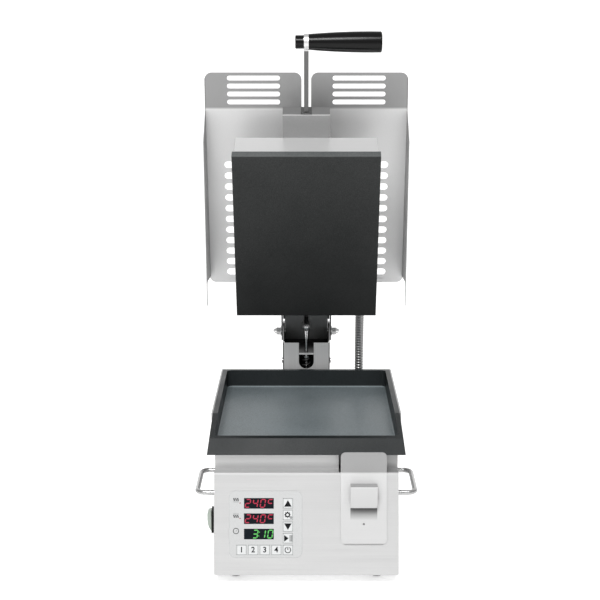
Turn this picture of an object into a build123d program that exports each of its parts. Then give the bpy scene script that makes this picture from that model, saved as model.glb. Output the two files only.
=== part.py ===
from build123d import *
import os
from math import atan2, cos, degrees, radians, sin

os.makedirs("parts", exist_ok=True)

# Casing
body_width = 300
body_depth = 600
sheet = 1.5
foot_height = 15
foot_radius = 14
foot_inset = 34
foot_set_back = 42
foot_chamfer = 1.5
foot_taper = 8
panel_rise = 161
panel_set_back = 40
panel_corner = 4
ledge_depth = 24
riser_height = 24
vent_length = 60
vent_width = 5
vent_pitch = 12
vent_columns_apart = 90
vent_rows = 6
gland_reach = 25
gland_hex_length = 8.333
gland_taper = 8
gland_radius = 10
gland_bore = 4.5
gland_inset = 34

# Keypad, in the plane of the sloping panel
overlay_width = 119
overlay_height = 108
overlay_corner = 10
overlay_x = -66
overlay_rise = 82.5
overlay_thickness = 0.4
window_width = 48.4
window_height = 17.2
window_x = -77
window_pitch = 24.8
window_low = 66.8
window_thickness = 2.6
key_size = 15.6
key_pitch = 18.8
key_x = -29.9
key_low = 41.2
key_proud = 0.6
key_depth = 2.4
key_gap = 0.2
key_corner = 1.5
board_gap = 1.2
board_thickness = 1.6
board_margin = 6

# Main switch on the left side
switch_set_back = 62
switch_height = 87
switch_length = 22
switch_tall = 34
switch_frame = 3
bezel_depth = 3
rocker_reach = 9
rocker_tilt = 7
rocker_gap = 0.8
switch_body_depth = 26
rocker_pin = 1.5
rocker_pin_seat = 0.8
rocker_pin_end_gap = 0.2

# Carrying loops
loop_rod = 8
loop_reach = 30
loop_length = 112
loop_set_back = 60
loop_height = 135
loop_corner = 13

# Drip tray
tray_x = 93.4
tray_width = 67
tray_bottom = 66
tray_top = 160
tray_rear = 250
tray_wall = 1.2
tray_plate_width = 75
tray_plate_low = 49
tray_plate_top = 211
tray_plate_corner = 8
tray_gap = 0.3
tray_side_gap = 1
tray_notch_left = 2.6
tray_notch_right = 1.3
ledge_lip = 3
tab_width = 43.6
tab_rise = 148.7
tab_reach = 18
tab_drop = 35
tab_corner = 6

# Lower cooking pan
pan_front = 58
pan_rear = 463
pan_half = 160
pan_flare = 3
pan_skirt = 23
pan_lean = 18
pan_wall = 8.5
pan_front_wall = 10
pan_floor = 6
pan_rim = 38
pan_step = 170
pan_corner = 9
pan_floor_round = 3
strip_thickness = 2.4
strip_height = 14.5
block_half = 128
block_front = 92
block_rear = 440
block_depth = 12
block_gap = 2
spout_radius = 12
spout_bore = 9
spout_length = 23
spout_set_back = 106

# Heating elements
element_rod = 8
element_sides = 8
element_leg_pitch = 46
element_legs = 4
element_clearance = 0.3
reflector_depth = 26

# Hinge post
hinge_set_back = 534.5
hinge_rise = 97.3
pin_radius = 5
pin_fit = 0.05
post_half = 45.5
post_front = 492
post_rear = 575
post_sheet = 3
post_web_rise = 83
post_slot = 29
post_slot_low = 31
ear_rise = 115
ear_top_half = 14.4
ear_top_round = 10
ear_back_drop = 10
flange_reach = 16
guide_rise = 59.5
nut_radius = 8
nut_length = 8
dome_radius = 6.5
dome_taper = 30
washer_radius = 10
washer_thickness = 1.5
button_head_radius = 5.5
button_head_height = 2.6
button_head_rise = 40

# Lid
open_angle = 68
plate_gap = 2
plate_length = 335
plate_width = 260
plate_thickness = 19
plate_rear_gap = 17
casing_inset = 3
casing_height = 58
casing_sheet = 1.2
casing_corner = 3
insulation_thickness = 25

# Arm
arm_height = 30
arm_half_front = 42
arm_half_rear = 48.5
arm_wall = 2.5
arm_overhang = 42
arm_tail = 14
arm_parallel = 66
arm_taper = 150
tongue_half = 41
tongue_tail = 11
ear_slot_front = 52
cover_sheet = 1.5
cover_rear = 70

# Lifting rod and its spring
lug_y = -23.6
lug_z = -19.1
lug_pin = 3
lug_inner = 4.2
lug_thickness = 3
lug_reach = 6.5
eye_half_length = 12
eye_half_height = 8
eye_slot_length = 16
eye_slot_height = 8.6
eye_thickness = 7
eye_room_length = 43.2
eye_room_shift = 1
rod_radius = 3.5
rod_reach = 154
collar_drop = 58
collar_radius = 8.5
collar_height = 3
spring_outer = 8.4
spring_inner = 5.6
cup_inner = 9.6
cup_wall = 1.5
cup_depth = 82
cup_lip = 1.2

# Handle
bar_width = 8
bar_depth = 18
bar_length = 131
bar_foot_width = 19.2
eye_radius = 14
grip_bolt_radius = 4
grip_near_radius = 13.5
grip_mid_radius = 17.1
grip_mid_share = 0.45
grip_far_radius = 18
grip_length = 126
grip_edge = 2
cap_radius = 11.5
cap_length = 15

# Splash guard
guard_half = 186
guard_sheet = 1.2
guard_back_tilt = 10
guard_pivot_y = -95
guard_pivot_rise = 9
guard_drop = 7
guard_start = 3.6
guard_length = 343.7
guard_flange = 68
guard_flange_bend = 8
guard_notch = 17.5
guard_corner = 13
guard_low_corner = 12
guard_cutout_half = 123.6
guard_cutout_height = 12
guard_hem_outer = 147
guard_hem_height = 8
wing_depth_low = 98
wing_depth_top = 69
wing_toe = 7
wing_rise = 37
wing_prong = 8
wing_round = 10
wing_shoulder = 40
guard_slots = 11
guard_slot_pitch = 21.6
guard_slot_width = 13
guard_slot_length = 50
guard_slot_outer = 153
guard_slot_first = 22.2
flange_slots = 4
flange_slot_pitch = 14.5
flange_slot_width = 8.7
flange_slot_length = 97
flange_slot_x = 96.5
flange_slot_first = 14.4
guard_pin = 3
guard_ear_x = 30
guard_ear_thickness = 3
guard_lug_gap = 0.5
guard_ear_radius = 6

# Flexible conduit
conduit_x = 102
conduit_rib = 8.3
conduit_root = 7.2
conduit_bore = 6
conduit_ribs = 27
collar_length = 15
collar_hex = 11

# Places worked out from the sizes above
body_half = body_width / 2
front_y = -(body_depth + gland_reach) / 2
rear_y = front_y + body_depth
panel_top = foot_height + panel_rise
deck_z = panel_top + riser_height
panel_tilt = degrees(atan2(panel_set_back, panel_rise))
riser_y = front_y + panel_set_back + ledge_depth
floor_z = deck_z + pan_floor
rim_z = deck_z + pan_rim
skirt_z = deck_z + pan_skirt
hinge_y = front_y + hinge_set_back
hinge_z = deck_z + hinge_rise
plate_low = floor_z + plate_gap - hinge_z
plate_back = pan_rear - pan_wall - plate_rear_gap - hinge_set_back
plate_front = plate_back - plate_length
casing_low = plate_low + plate_thickness
arm_low = casing_low + casing_height
arm_top = arm_low + arm_height
arm_front = plate_front - arm_overhang

panel = Plane(
    origin=(0, front_y, foot_height),
    x_dir=(1, 0, 0),
    z_dir=(0, -cos(radians(panel_tilt)), sin(radians(panel_tilt))),
)
lid = Plane(
    origin=(0, hinge_y, hinge_z),
    x_dir=(1, 0, 0),
    z_dir=(0, sin(radians(open_angle)), cos(radians(open_angle))),
)


def write(piece, name):
    piece.part.label = name
    export_step(piece.part, f"parts/{name}.step")


def lid_point(x, y, z):
    """A point of the lid's own frame, in the frame of the whole grill."""
    return lid.from_local_coords(Vector(x, y, z))


def slope_y(z, stand_off):
    """Where the panel's outer face lies at height z, moved out by stand_off."""
    return front_y + (z - foot_height) * panel_set_back / panel_rise - stand_off / cos(radians(panel_tilt))


def across(x):
    """The upright plane that faces right at x."""
    return Plane.YZ.offset(x)


def lid_across(x):
    """The plane that faces right at x, with the lid's own length and height as its axes."""
    return Plane(origin=lid_point(x, 0, 0), x_dir=lid.y_dir, z_dir=(1, 0, 0))


def outline(*points):
    """A closed straight-edged profile, with its corners just where they are given."""
    Polygon(*points, align=None)


# Side panels, each a flat sheet with the profile of the casing
side_profile = [
    (slope_y(foot_height + sheet, -sheet), foot_height + sheet),
    (slope_y(panel_top - sheet, -sheet), panel_top - sheet),
    (riser_y + sheet, panel_top - sheet),
    (riser_y + sheet, deck_z - sheet),
    (rear_y - sheet, deck_z - sheet),
    (rear_y - sheet, foot_height + sheet),
]
with BuildPart() as side_panel_left:
    with BuildSketch(across(-body_half)):
        outline(*side_profile)
    extrude(amount=sheet)
    with BuildSketch(across(-body_half)):
        with Locations((front_y + switch_set_back, switch_height)):
            Rectangle(switch_length, switch_tall)
    extrude(amount=sheet, mode=Mode.SUBTRACT)
write(side_panel_left, "side_panel_left")

with BuildPart() as side_panel_right:
    with BuildSketch(across(body_half - sheet)):
        outline(*side_profile)
    extrude(amount=sheet)
write(side_panel_right, "side_panel_right")

# Rear panel with its air slots
vent_z = (foot_height + deck_z) / 2
with BuildPart() as rear_panel:
    with BuildSketch(Plane.XZ.offset(-rear_y)):
        with Locations((0, (foot_height + deck_z) / 2)):
            Rectangle(body_width, deck_z - foot_height)
    extrude(amount=sheet)
    with BuildSketch(Plane.XZ.offset(-rear_y)):
        with Locations((0, vent_z)):
            with GridLocations(vent_columns_apart, vent_pitch, 2, vent_rows):
                SlotOverall(vent_length, vent_width)
        with Locations((body_half - gland_inset, foot_height + gland_inset)):
            Circle(gland_radius - sheet)
    extrude(amount=sheet, mode=Mode.SUBTRACT)
write(rear_panel, "rear_panel")

# Mains cable gland, with an open bore
with BuildPart() as mains_gland:
    with BuildSketch(Plane.XZ.offset(-rear_y)):
        with Locations((body_half - gland_inset, foot_height + gland_inset)):
            RegularPolygon(gland_radius + sheet, 6)
    extrude(amount=-gland_hex_length)
    with BuildSketch(Plane.XZ.offset(-rear_y - gland_hex_length)):
        with Locations((body_half - gland_inset, foot_height + gland_inset)):
            Circle(gland_radius - sheet)
    extrude(amount=gland_hex_length - gland_reach, taper=gland_taper)
    with BuildSketch(Plane.XZ.offset(-rear_y - gland_reach)):
        with Locations((body_half - gland_inset, foot_height + gland_inset)):
            Circle(gland_bore)
    extrude(amount=gland_reach, mode=Mode.SUBTRACT)
write(mains_gland, "mains_gland")

# Bottom plate
plate_start = slope_y(foot_height + sheet, -sheet)
with BuildPart() as bottom_plate:
    with BuildSketch(Plane.XY.offset(foot_height)):
        with Locations((0, (plate_start + rear_y - sheet) / 2)):
            Rectangle(body_width, rear_y - sheet - plate_start)
    extrude(amount=sheet)
write(bottom_plate, "bottom_plate")

# Feet, four alike
foot_span_x = body_width - 2 * foot_inset
foot_span_y = body_depth - 2 * foot_set_back
with BuildPart() as feet:
    with BuildSketch(Plane.XY.offset(foot_height)):
        with Locations((0, (front_y + rear_y) / 2)):
            with GridLocations(foot_span_x, foot_span_y, 2, 2):
                Circle(foot_radius)
    extrude(amount=-foot_height, taper=foot_taper)
    chamfer(feet.edges().group_by(Axis.Z)[0], foot_chamfer)
write(feet, "feet")

# Top deck, open under the pan, the lifting spring and the conduit
conduit_turn = radians(90 - open_angle)
conduit_rear = plate_back - casing_inset + collar_length
conduit_start = lid_point(conduit_x, conduit_rear, casing_low + casing_height / 2)
conduit_end_z = deck_z + collar_length
conduit_drop = conduit_start.Z - conduit_end_z
conduit_end_y = conduit_start.Y + conduit_drop * sin(conduit_turn / 2) / cos(conduit_turn / 2)
lug = lid_point(0, lug_y, lug_z)
with BuildPart() as top_deck:
    with BuildSketch(Plane.XY.offset(deck_z)):
        with Locations((0, (riser_y + sheet + rear_y - sheet) / 2)):
            Rectangle(body_width, rear_y - riser_y - 2 * sheet)
        with Locations((0, front_y + (block_front + block_rear) / 2)):
            Rectangle(
                2 * (block_half + block_gap),
                block_rear - block_front + 2 * block_gap,
                mode=Mode.SUBTRACT,
            )
        with Locations((0, lug.Y)):
            Circle(cup_inner + cup_wall, mode=Mode.SUBTRACT)
        with Locations((conduit_x, conduit_end_y)):
            Circle(conduit_bore, mode=Mode.SUBTRACT)
    extrude(amount=-sheet)
write(top_deck, "top_deck")

# Front panel, one sheet bent along the slope, the ledge and the riser
with BuildPart() as front_panel:
    with BuildSketch(across(-body_half)):
        outline(
            (front_y, foot_height),
            (front_y + panel_set_back, panel_top),
            (riser_y, panel_top),
            (riser_y, deck_z),
            (riser_y + sheet, deck_z),
            (riser_y + sheet, panel_top - sheet),
            (slope_y(panel_top - sheet, -sheet), panel_top - sheet),
            (slope_y(foot_height, -sheet), foot_height),
        )
    extrude(amount=body_width)
    fillet(front_panel.edges().filter_by(Axis.Y).group_by(Axis.Z)[0], panel_corner)
    with BuildSketch(panel):
        with Locations((window_x, window_low)):
            with Locations(*[(0, i * window_pitch) for i in range(3)]):
                Rectangle(window_width, window_height)
        with Locations(*[(key_x - i * key_pitch, key_low) for i in range(5)]):
            Rectangle(key_size + 2 * key_gap, key_size + 2 * key_gap)
        with Locations(*[(key_x, key_low + i * key_pitch) for i in range(1, 5)]):
            Rectangle(key_size + 2 * key_gap, key_size + 2 * key_gap)
    extrude(amount=-2 * sheet, mode=Mode.SUBTRACT)
    with BuildSketch(Plane.XZ.offset(-front_y)):
        with Locations((tray_x, (tray_bottom + tray_top) / 2)):
            Rectangle(tray_width + 2 * tray_side_gap, tray_top - tray_bottom + 2 * tray_side_gap)
    extrude(amount=-(panel_set_back + 2 * sheet), mode=Mode.SUBTRACT)
    notch_left = tray_x - tray_plate_width / 2 - tray_notch_left
    notch_right = tray_x + tray_plate_width / 2 + tray_notch_right
    with BuildSketch(Plane.XZ.offset(-front_y - panel_set_back - ledge_lip)):
        with Locations(((notch_left + notch_right) / 2, (panel_top - sheet + deck_z) / 2)):
            Rectangle(notch_right - notch_left, deck_z - panel_top + sheet)
    extrude(amount=-ledge_depth, mode=Mode.SUBTRACT)
write(front_panel, "front_panel")

# Keypad film, with openings for the windows and keys
key_places = {
    "power": (key_x, key_low),
    "4": (key_x - key_pitch, key_low),
    "3": (key_x - 2 * key_pitch, key_low),
    "2": (key_x - 3 * key_pitch, key_low),
    "1": (key_x - 4 * key_pitch, key_low),
    "start": (key_x, key_low + key_pitch),
    "down": (key_x, key_low + 2 * key_pitch),
    "set": (key_x, key_low + 3 * key_pitch),
    "up": (key_x, key_low + 4 * key_pitch),
}
window_places = {
    "timer": (window_x, window_low),
    "lower": (window_x, window_low + window_pitch),
    "upper": (window_x, window_low + 2 * window_pitch),
}
with BuildPart() as keypad_film:
    with BuildSketch(panel):
        with Locations((overlay_x, overlay_rise)):
            RectangleRounded(overlay_width, overlay_height, overlay_corner)
        with Locations(*window_places.values()):
            Rectangle(window_width, window_height, mode=Mode.SUBTRACT)
        with Locations(*key_places.values()):
            Rectangle(key_size + 2 * key_gap, key_size + 2 * key_gap, mode=Mode.SUBTRACT)
    extrude(amount=overlay_thickness)
write(keypad_film, "keypad_film")

for place, spot in window_places.items():
    with BuildPart() as window:
        with BuildSketch(panel.offset(overlay_thickness)):
            with Locations(spot):
                Rectangle(window_width, window_height)
        extrude(amount=-window_thickness)
    write(window, f"display_{place}")

for place, spot in key_places.items():
    with BuildPart() as key:
        with BuildSketch(panel.offset(overlay_thickness + key_proud)):
            with Locations(spot):
                RectangleRounded(key_size, key_size, key_corner)
        extrude(amount=-key_depth)
    write(key, f"key_{place}")

# Circuit board behind the keypad, on four spacers
board_top = overlay_thickness + key_proud - key_depth - board_gap
with BuildPart() as circuit_board:
    with BuildSketch(panel.offset(board_top)):
        with Locations((overlay_x, overlay_rise)):
            Rectangle(overlay_width + 2 * board_margin, overlay_height + 2 * board_margin)
    extrude(amount=-board_thickness)
    with BuildSketch(panel.offset(board_top)):
        with Locations((overlay_x, overlay_rise)):
            with GridLocations(overlay_width + board_margin, overlay_height + board_margin, 2, 2):
                Circle(board_margin / 2)
    extrude(amount=-board_top - sheet)
write(circuit_board, "circuit_board")

# Main switch: a bezel and box in the side panel, and a rocker that tilts in it
switch = Plane(
    origin=(-body_half, front_y + switch_set_back, switch_height),
    x_dir=(0, 1, 0),
    z_dir=(-1, 0, 0),
)
with BuildPart() as switch_box:
    with BuildSketch(switch):
        RectangleRounded(switch_length + 2 * switch_frame, switch_tall + 2 * switch_frame, switch_frame)
    extrude(amount=bezel_depth)
    with BuildSketch(switch):
        Rectangle(switch_length - 2 * key_gap, switch_tall - 2 * key_gap)
    extrude(amount=-switch_body_depth)
    with BuildSketch(switch.offset(bezel_depth)):
        Rectangle(switch_length - switch_frame, switch_tall - switch_frame)
    extrude(amount=-bezel_depth - rocker_reach, mode=Mode.SUBTRACT)
    seat_half = (switch_length - switch_frame) / 2 + rocker_pin_seat + rocker_pin_end_gap
    with BuildSketch(Plane(origin=switch.origin - switch.x_dir * seat_half, z_dir=switch.x_dir)):
        Circle(rocker_pin + pin_fit)
    extrude(amount=2 * seat_half, mode=Mode.SUBTRACT)
write(switch_box, "switch_box")

rocker_half = (switch_tall - switch_frame) / 2 - rocker_gap
rocker_start = front_y + switch_set_back - (switch_length - switch_frame) / 2 + rocker_gap
rocker_face = Plane(
    origin=(-body_half, rocker_start, switch_height),
    x_dir=(-cos(radians(rocker_tilt)), 0, sin(radians(rocker_tilt))),
    z_dir=(0, 1, 0),
)
with BuildPart() as switch_rocker:
    with BuildSketch(rocker_face):
        with BuildLine():
            low_corner = (bezel_depth, -rocker_half)
            high_corner = (bezel_depth, rocker_half)
            Line(low_corner, (0, -rocker_half + bezel_depth / 2))
            Line((0, -rocker_half + bezel_depth / 2), (-rocker_reach / 2, 0))
            Line((-rocker_reach / 2, 0), (0, rocker_half - bezel_depth / 2))
            Line((0, rocker_half - bezel_depth / 2), high_corner)
            ThreePointArc(high_corner, (bezel_depth + rocker_reach, 0), low_corner)
        make_face()
    extrude(amount=switch_length - switch_frame - 2 * rocker_gap)
    with BuildSketch(rocker_face.offset(-rocker_gap - rocker_pin_seat)):
        Circle(rocker_pin)
    extrude(amount=switch_length - switch_frame + 2 * rocker_pin_seat)
write(switch_rocker, "switch_rocker")

# Carrying loops, one bent rod at each side
loop_near = front_y + loop_set_back
loop_far = loop_near + loop_length
for side, sign in (("left", -1), ("right", 1)):
    with BuildPart() as carry_loop:
        with BuildLine() as loop_path:
            FilletPolyline(
                (sign * body_half, loop_near, loop_height),
                (sign * (body_half + loop_reach), loop_near, loop_height),
                (sign * (body_half + loop_reach), loop_far, loop_height),
                (sign * body_half, loop_far, loop_height),
                radius=loop_corner,
            )
        with BuildSketch(Plane(origin=(sign * body_half, loop_near, loop_height), z_dir=(sign, 0, 0))):
            Circle(loop_rod / 2)
        sweep()
    write(carry_loop, f"carry_loop_{side}")

# Drip tray box, open at the top, its front wall along the sloping plate
tray_left = tray_x - tray_width / 2
with BuildPart() as tray_box:
    with BuildSketch(across(tray_left)):
        outline(
            (slope_y(tray_bottom, tray_gap), tray_bottom),
            (slope_y(tray_top, tray_gap), tray_top),
            (front_y + tray_rear, tray_top),
            (front_y + tray_rear, tray_bottom),
        )
    extrude(amount=tray_width)
    with BuildSketch(across(tray_left + tray_wall)):
        outline(
            (slope_y(tray_bottom + tray_wall, tray_gap - 2 * tray_wall), tray_bottom + tray_wall),
            (slope_y(tray_top, tray_gap - 2 * tray_wall), tray_top),
            (front_y + tray_rear - tray_wall, tray_top),
            (front_y + tray_rear - tray_wall, tray_bottom + tray_wall),
        )
    extrude(amount=tray_width - 2 * tray_wall, mode=Mode.SUBTRACT)
write(tray_box, "tray_box")

# Drip tray front: a plate bent where the slope ends, with a folded finger tab
bend_y = slope_y(panel_top, tray_gap)
with BuildPart() as tray_front:
    with BuildSketch(across(tray_x - tray_plate_width / 2)):
        outline(
            (slope_y(foot_height + tray_plate_low, tray_gap), foot_height + tray_plate_low),
            (bend_y, panel_top),
            (bend_y, tray_plate_top),
            (bend_y - sheet, tray_plate_top),
            (bend_y - sheet, panel_top),
            (slope_y(foot_height + tray_plate_low, tray_gap + sheet), foot_height + tray_plate_low),
        )
    extrude(amount=tray_plate_width)
    with BuildSketch(Plane.XZ.offset(-bend_y - sheet)):
        with Locations((tray_x, (foot_height + tray_plate_low + tray_plate_top) / 2)):
            RectangleRounded(
                tray_plate_width, tray_plate_top - foot_height - tray_plate_low, tray_plate_corner
            )
    extrude(amount=panel_set_back + 2 * sheet, mode=Mode.INTERSECT)
    tab_z = foot_height + tab_rise * cos(radians(panel_tilt))
    tab_root_y = slope_y(tab_z, tray_gap + sheet / 2)
    tab_y = slope_y(tab_z, tray_gap + sheet) - tab_reach
    with BuildSketch(Plane.XY.offset(tab_z)):
        with Locations((tray_x, (tab_root_y + tab_y) / 2)):
            Rectangle(tab_width, tab_root_y - tab_y)
    extrude(amount=-sheet)
    with BuildSketch(Plane.XZ.offset(-tab_y)) as tab_face:
        with Locations((tray_x, tab_z - tab_drop / 2)):
            Rectangle(tab_width, tab_drop)
        fillet(tab_face.vertices().group_by(Axis.Y)[0], tab_corner)
    extrude(amount=-sheet)
write(tray_front, "tray_front")

# Tray guide, a shelf between two cheeks that stand on the bottom plate
guide_wall = tray_wall
guide_half = tray_width / 2 + tray_side_gap
guide_front = front_y + panel_set_back + ledge_depth
with BuildPart() as tray_guide:
    with BuildSketch(Plane.XZ.offset(-guide_front)):
        with Locations((tray_x, tray_bottom - tray_gap - guide_wall / 2)):
            Rectangle(2 * guide_half, guide_wall)
        with Locations(
            (tray_x - guide_half - guide_wall / 2, (foot_height + sheet + tray_top) / 2),
            (tray_x + guide_half + guide_wall / 2, (foot_height + sheet + tray_top) / 2),
        ):
            Rectangle(guide_wall, tray_top - foot_height - sheet)
    extrude(amount=-(tray_rear - panel_set_back - ledge_depth))
write(tray_guide, "tray_guide")

# Lower cooking pan: a flared skirt, a raised rim that falls to the front, a cooking floor
with BuildPart() as lower_pan:
    with BuildSketch(Plane.XY.offset(deck_z)):
        with Locations((0, front_y + (pan_front + pan_rear + pan_flare) / 2)):
            Rectangle(2 * (pan_half + pan_flare), pan_rear + pan_flare - pan_front)
    with BuildSketch(Plane.XY.offset(skirt_z)):
        with Locations((0, front_y + (pan_front + pan_lean + pan_rear) / 2)):
            Rectangle(2 * pan_half, pan_rear - pan_front - pan_lean)
    loft(ruled=True)
    with BuildSketch(across(-pan_half)):
        outline(
            (front_y + pan_front + pan_lean, skirt_z),
            (front_y + pan_step, rim_z),
            (front_y + pan_rear, rim_z),
            (front_y + pan_rear, skirt_z),
        )
    extrude(amount=2 * pan_half)
    bowl_front = front_y + pan_front + pan_lean + pan_front_wall
    bowl_rear = front_y + pan_rear - pan_wall
    with BuildSketch(Plane.XY.offset(floor_z)):
        with Locations((0, (bowl_front + bowl_rear) / 2)):
            RectangleRounded(2 * (pan_half - pan_wall), bowl_rear - bowl_front, pan_corner)
    extrude(amount=pan_rim, mode=Mode.SUBTRACT)
    floor_edges = lower_pan.edges().filter_by_position(Axis.Z, floor_z - pin_fit, floor_z + pin_fit)
    fillet(floor_edges, pan_floor_round)
    with BuildSketch(Plane.XY.offset(deck_z)):
        with Locations((0, front_y + (block_front + block_rear) / 2)):
            Rectangle(2 * block_half, block_rear - block_front)
    extrude(amount=-block_depth)
    with BuildSketch(Plane.XY.offset(floor_z)):
        with Locations((tray_x, front_y + spout_set_back)):
            Circle(spout_bore)
    extrude(amount=-pan_floor - block_depth, mode=Mode.SUBTRACT)
write(lower_pan, "lower_pan")

with BuildPart() as drain_spout:
    with BuildSketch(Plane.XY.offset(deck_z - block_depth)):
        with Locations((tray_x, front_y + spout_set_back)):
            Circle(spout_radius)
            Circle(spout_bore, mode=Mode.SUBTRACT)
    extrude(amount=-spout_length)
write(drain_spout, "drain_spout")

# Steel edge strips along both sides of the rim
with BuildPart() as pan_strips:
    with BuildSketch(Plane.XY.offset(rim_z)):
        with Locations((0, front_y + (pan_step + pan_rear) / 2)):
            with GridLocations(2 * pan_half + strip_thickness, 0, 2, 1):
                Rectangle(strip_thickness, pan_rear - pan_step)
    extrude(amount=-strip_height)
write(pan_strips, "pan_strips")

# Lower heating element, a bent rod under the pan
element_z = deck_z - block_depth - element_rod / 2 - element_clearance
element_front = front_y + block_front + element_leg_pitch
element_rear = front_y + block_rear - element_leg_pitch / 2


def element_points(count, near, far):
    """Corners of a rod that runs to and fro between near and far."""
    points = []
    for leg in range(count):
        x = (leg - (count - 1) / 2) * element_leg_pitch
        ends = (near, far) if leg % 2 == 0 else (far, near)
        points += [(x, ends[0]), (x, ends[1])]
    return points


lower_points = element_points(element_legs, element_rear, element_front)
with BuildPart() as lower_element:
    with BuildLine() as lower_path:
        FilletPolyline(*[(x, y, element_z) for x, y in lower_points], radius=element_leg_pitch / 2 - 1)
    with BuildSketch(Plane(origin=(*lower_points[0], element_z), x_dir=(1, 0, 0), z_dir=(0, -1, 0))):
        RegularPolygon(element_rod / 2, element_sides, major_radius=False, rotation=180 / element_sides)
    sweep()
write(lower_element, "lower_element")

# Reflector box that hangs under the deck round the element
with BuildPart() as reflector:
    with BuildSketch(Plane.XY.offset(deck_z - sheet)):
        with Locations((0, front_y + (block_front + block_rear) / 2)):
            Rectangle(
                2 * (block_half + block_gap + sheet),
                block_rear - block_front + 2 * (block_gap + sheet),
            )
    extrude(amount=-reflector_depth)
    with BuildSketch(Plane.XY.offset(deck_z - sheet)):
        with Locations((0, front_y + (block_front + block_rear) / 2)):
            Rectangle(2 * (block_half + block_gap), block_rear - block_front + 2 * block_gap)
    extrude(amount=-reflector_depth + sheet, mode=Mode.SUBTRACT)
    with BuildSketch(Plane.XY.offset(deck_z - sheet)):
        with Locations((tray_x, front_y + spout_set_back)):
            Circle(spout_radius + element_clearance)
    extrude(amount=-reflector_depth, mode=Mode.SUBTRACT)
write(reflector, "reflector")

# Hinge post: a channel with a slotted front web, two ears and foot flanges
web_top = deck_z + post_web_rise
post_y = front_y + post_front
post_back = front_y + post_rear
with BuildPart() as hinge_post:
    for x in (-post_half, post_half - post_sheet):
        with BuildSketch(across(x)) as ear:
            outline(
                (post_y, deck_z),
                (post_y, web_top),
                (hinge_y - ear_top_half, deck_z + ear_rise),
                (hinge_y + ear_top_half, deck_z + ear_rise),
                (post_back, deck_z + hinge_rise - ear_back_drop),
                (post_back, deck_z),
            )
            fillet(ear.vertices().group_by(Axis.Z)[-1], ear_top_round)
        extrude(amount=post_sheet)
    with BuildSketch(Plane.XZ.offset(-post_y)):
        with Locations((0, (deck_z + web_top) / 2)):
            Rectangle(2 * post_half, post_web_rise)
    extrude(amount=-post_sheet)
    with BuildSketch(Plane.XZ.offset(-post_y)):
        with Locations((0, deck_z + post_slot_low + post_slot / 2)):
            Circle(post_slot / 2)
        with Locations((0, (deck_z + post_slot_low + post_slot / 2 + web_top) / 2)):
            Rectangle(post_slot, web_top - deck_z - post_slot_low - post_slot / 2)
    extrude(amount=-post_sheet, mode=Mode.SUBTRACT)
    with BuildSketch(Plane.XY.offset(deck_z)):
        for sign in (-1, 1):
            with Locations((sign * (post_half + flange_reach / 2), (post_y + post_back) / 2)):
                Rectangle(flange_reach, post_back - post_y)
    extrude(amount=post_sheet)
    with BuildSketch(across(-post_half)):
        with Locations((hinge_y, hinge_z)):
            Circle(pin_radius + pin_fit)
    extrude(amount=2 * post_half, mode=Mode.SUBTRACT)
write(hinge_post, "hinge_post")

# Closing plate at the back of the post
with BuildPart() as post_cover:
    with BuildSketch(Plane.XZ.offset(-post_back)):
        with Locations((0, deck_z + (hinge_rise - ear_back_drop) / 2)):
            Rectangle(2 * post_half, hinge_rise - ear_back_drop)
    extrude(amount=-sheet)
write(post_cover, "post_cover")

# Flange screws and the two button heads on the post's sides
with BuildPart() as post_screws:
    for sign in (-1, 1):
        with BuildSketch(Plane.XY.offset(deck_z + post_sheet)):
            with Locations(
                (sign * (post_half + flange_reach / 2 + 1), post_y + flange_reach),
                (sign * (post_half + flange_reach / 2 + 1), post_back - flange_reach),
            ):
                RegularPolygon(button_head_radius, 6)
        extrude(amount=button_head_height)
    for x, reach in ((-post_half, -button_head_height), (post_half, button_head_height)):
        with BuildSketch(across(x)):
            with Locations((post_y + 2 * flange_reach, deck_z + button_head_rise)):
                Circle(button_head_radius)
        extrude(amount=reach)
write(post_screws, "post_screws")

# Hinge pin, spacers and domed nuts
pin_half = arm_half_rear + washer_thickness + nut_length
with BuildPart() as hinge_pin:
    with BuildSketch(across(-pin_half)):
        with Locations((hinge_y, hinge_z)):
            Circle(pin_radius)
    extrude(amount=2 * pin_half)
write(hinge_pin, "hinge_pin")

with BuildPart() as hinge_nuts:
    for sign in (-1, 1):
        face_x = sign * (arm_half_rear + washer_thickness)
        with BuildSketch(across(sign * arm_half_rear)):
            with Locations((hinge_y, hinge_z)):
                Circle(washer_radius)
        extrude(amount=sign * washer_thickness)
        with BuildSketch(across(face_x)):
            with Locations((hinge_y, hinge_z)):
                RegularPolygon(nut_radius, 6)
        extrude(amount=sign * nut_length)
        with BuildSketch(across(face_x + sign * nut_length)):
            with Locations((hinge_y, hinge_z)):
                Circle(dome_radius)
        extrude(amount=sign * dome_radius, taper=dome_taper)
        with BuildSketch(across(sign * arm_half_rear)):
            with Locations((hinge_y, hinge_z)):
                Circle(pin_radius + pin_fit)
        extrude(amount=sign * (washer_thickness + nut_length), mode=Mode.SUBTRACT)
write(hinge_nuts, "hinge_nuts")

# Guide plate for the lifting rod, set into the slot
guide_z = deck_z + guide_rise
rod_gap = 0.4
with BuildPart() as rod_guide:
    with BuildSketch(Plane.XY.offset(guide_z)):
        with Locations((0, (post_y + post_sheet + post_back) / 2)):
            Rectangle(2 * (post_half - post_sheet), post_back - post_y - post_sheet)
        with Locations((0, post_y + post_sheet / 2)):
            Rectangle(post_slot - 2 * rod_gap, post_sheet)
        with Locations((0, lug.Y)):
            Circle(rod_radius + rod_gap, mode=Mode.SUBTRACT)
    extrude(amount=post_sheet)
write(rod_guide, "rod_guide")

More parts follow.
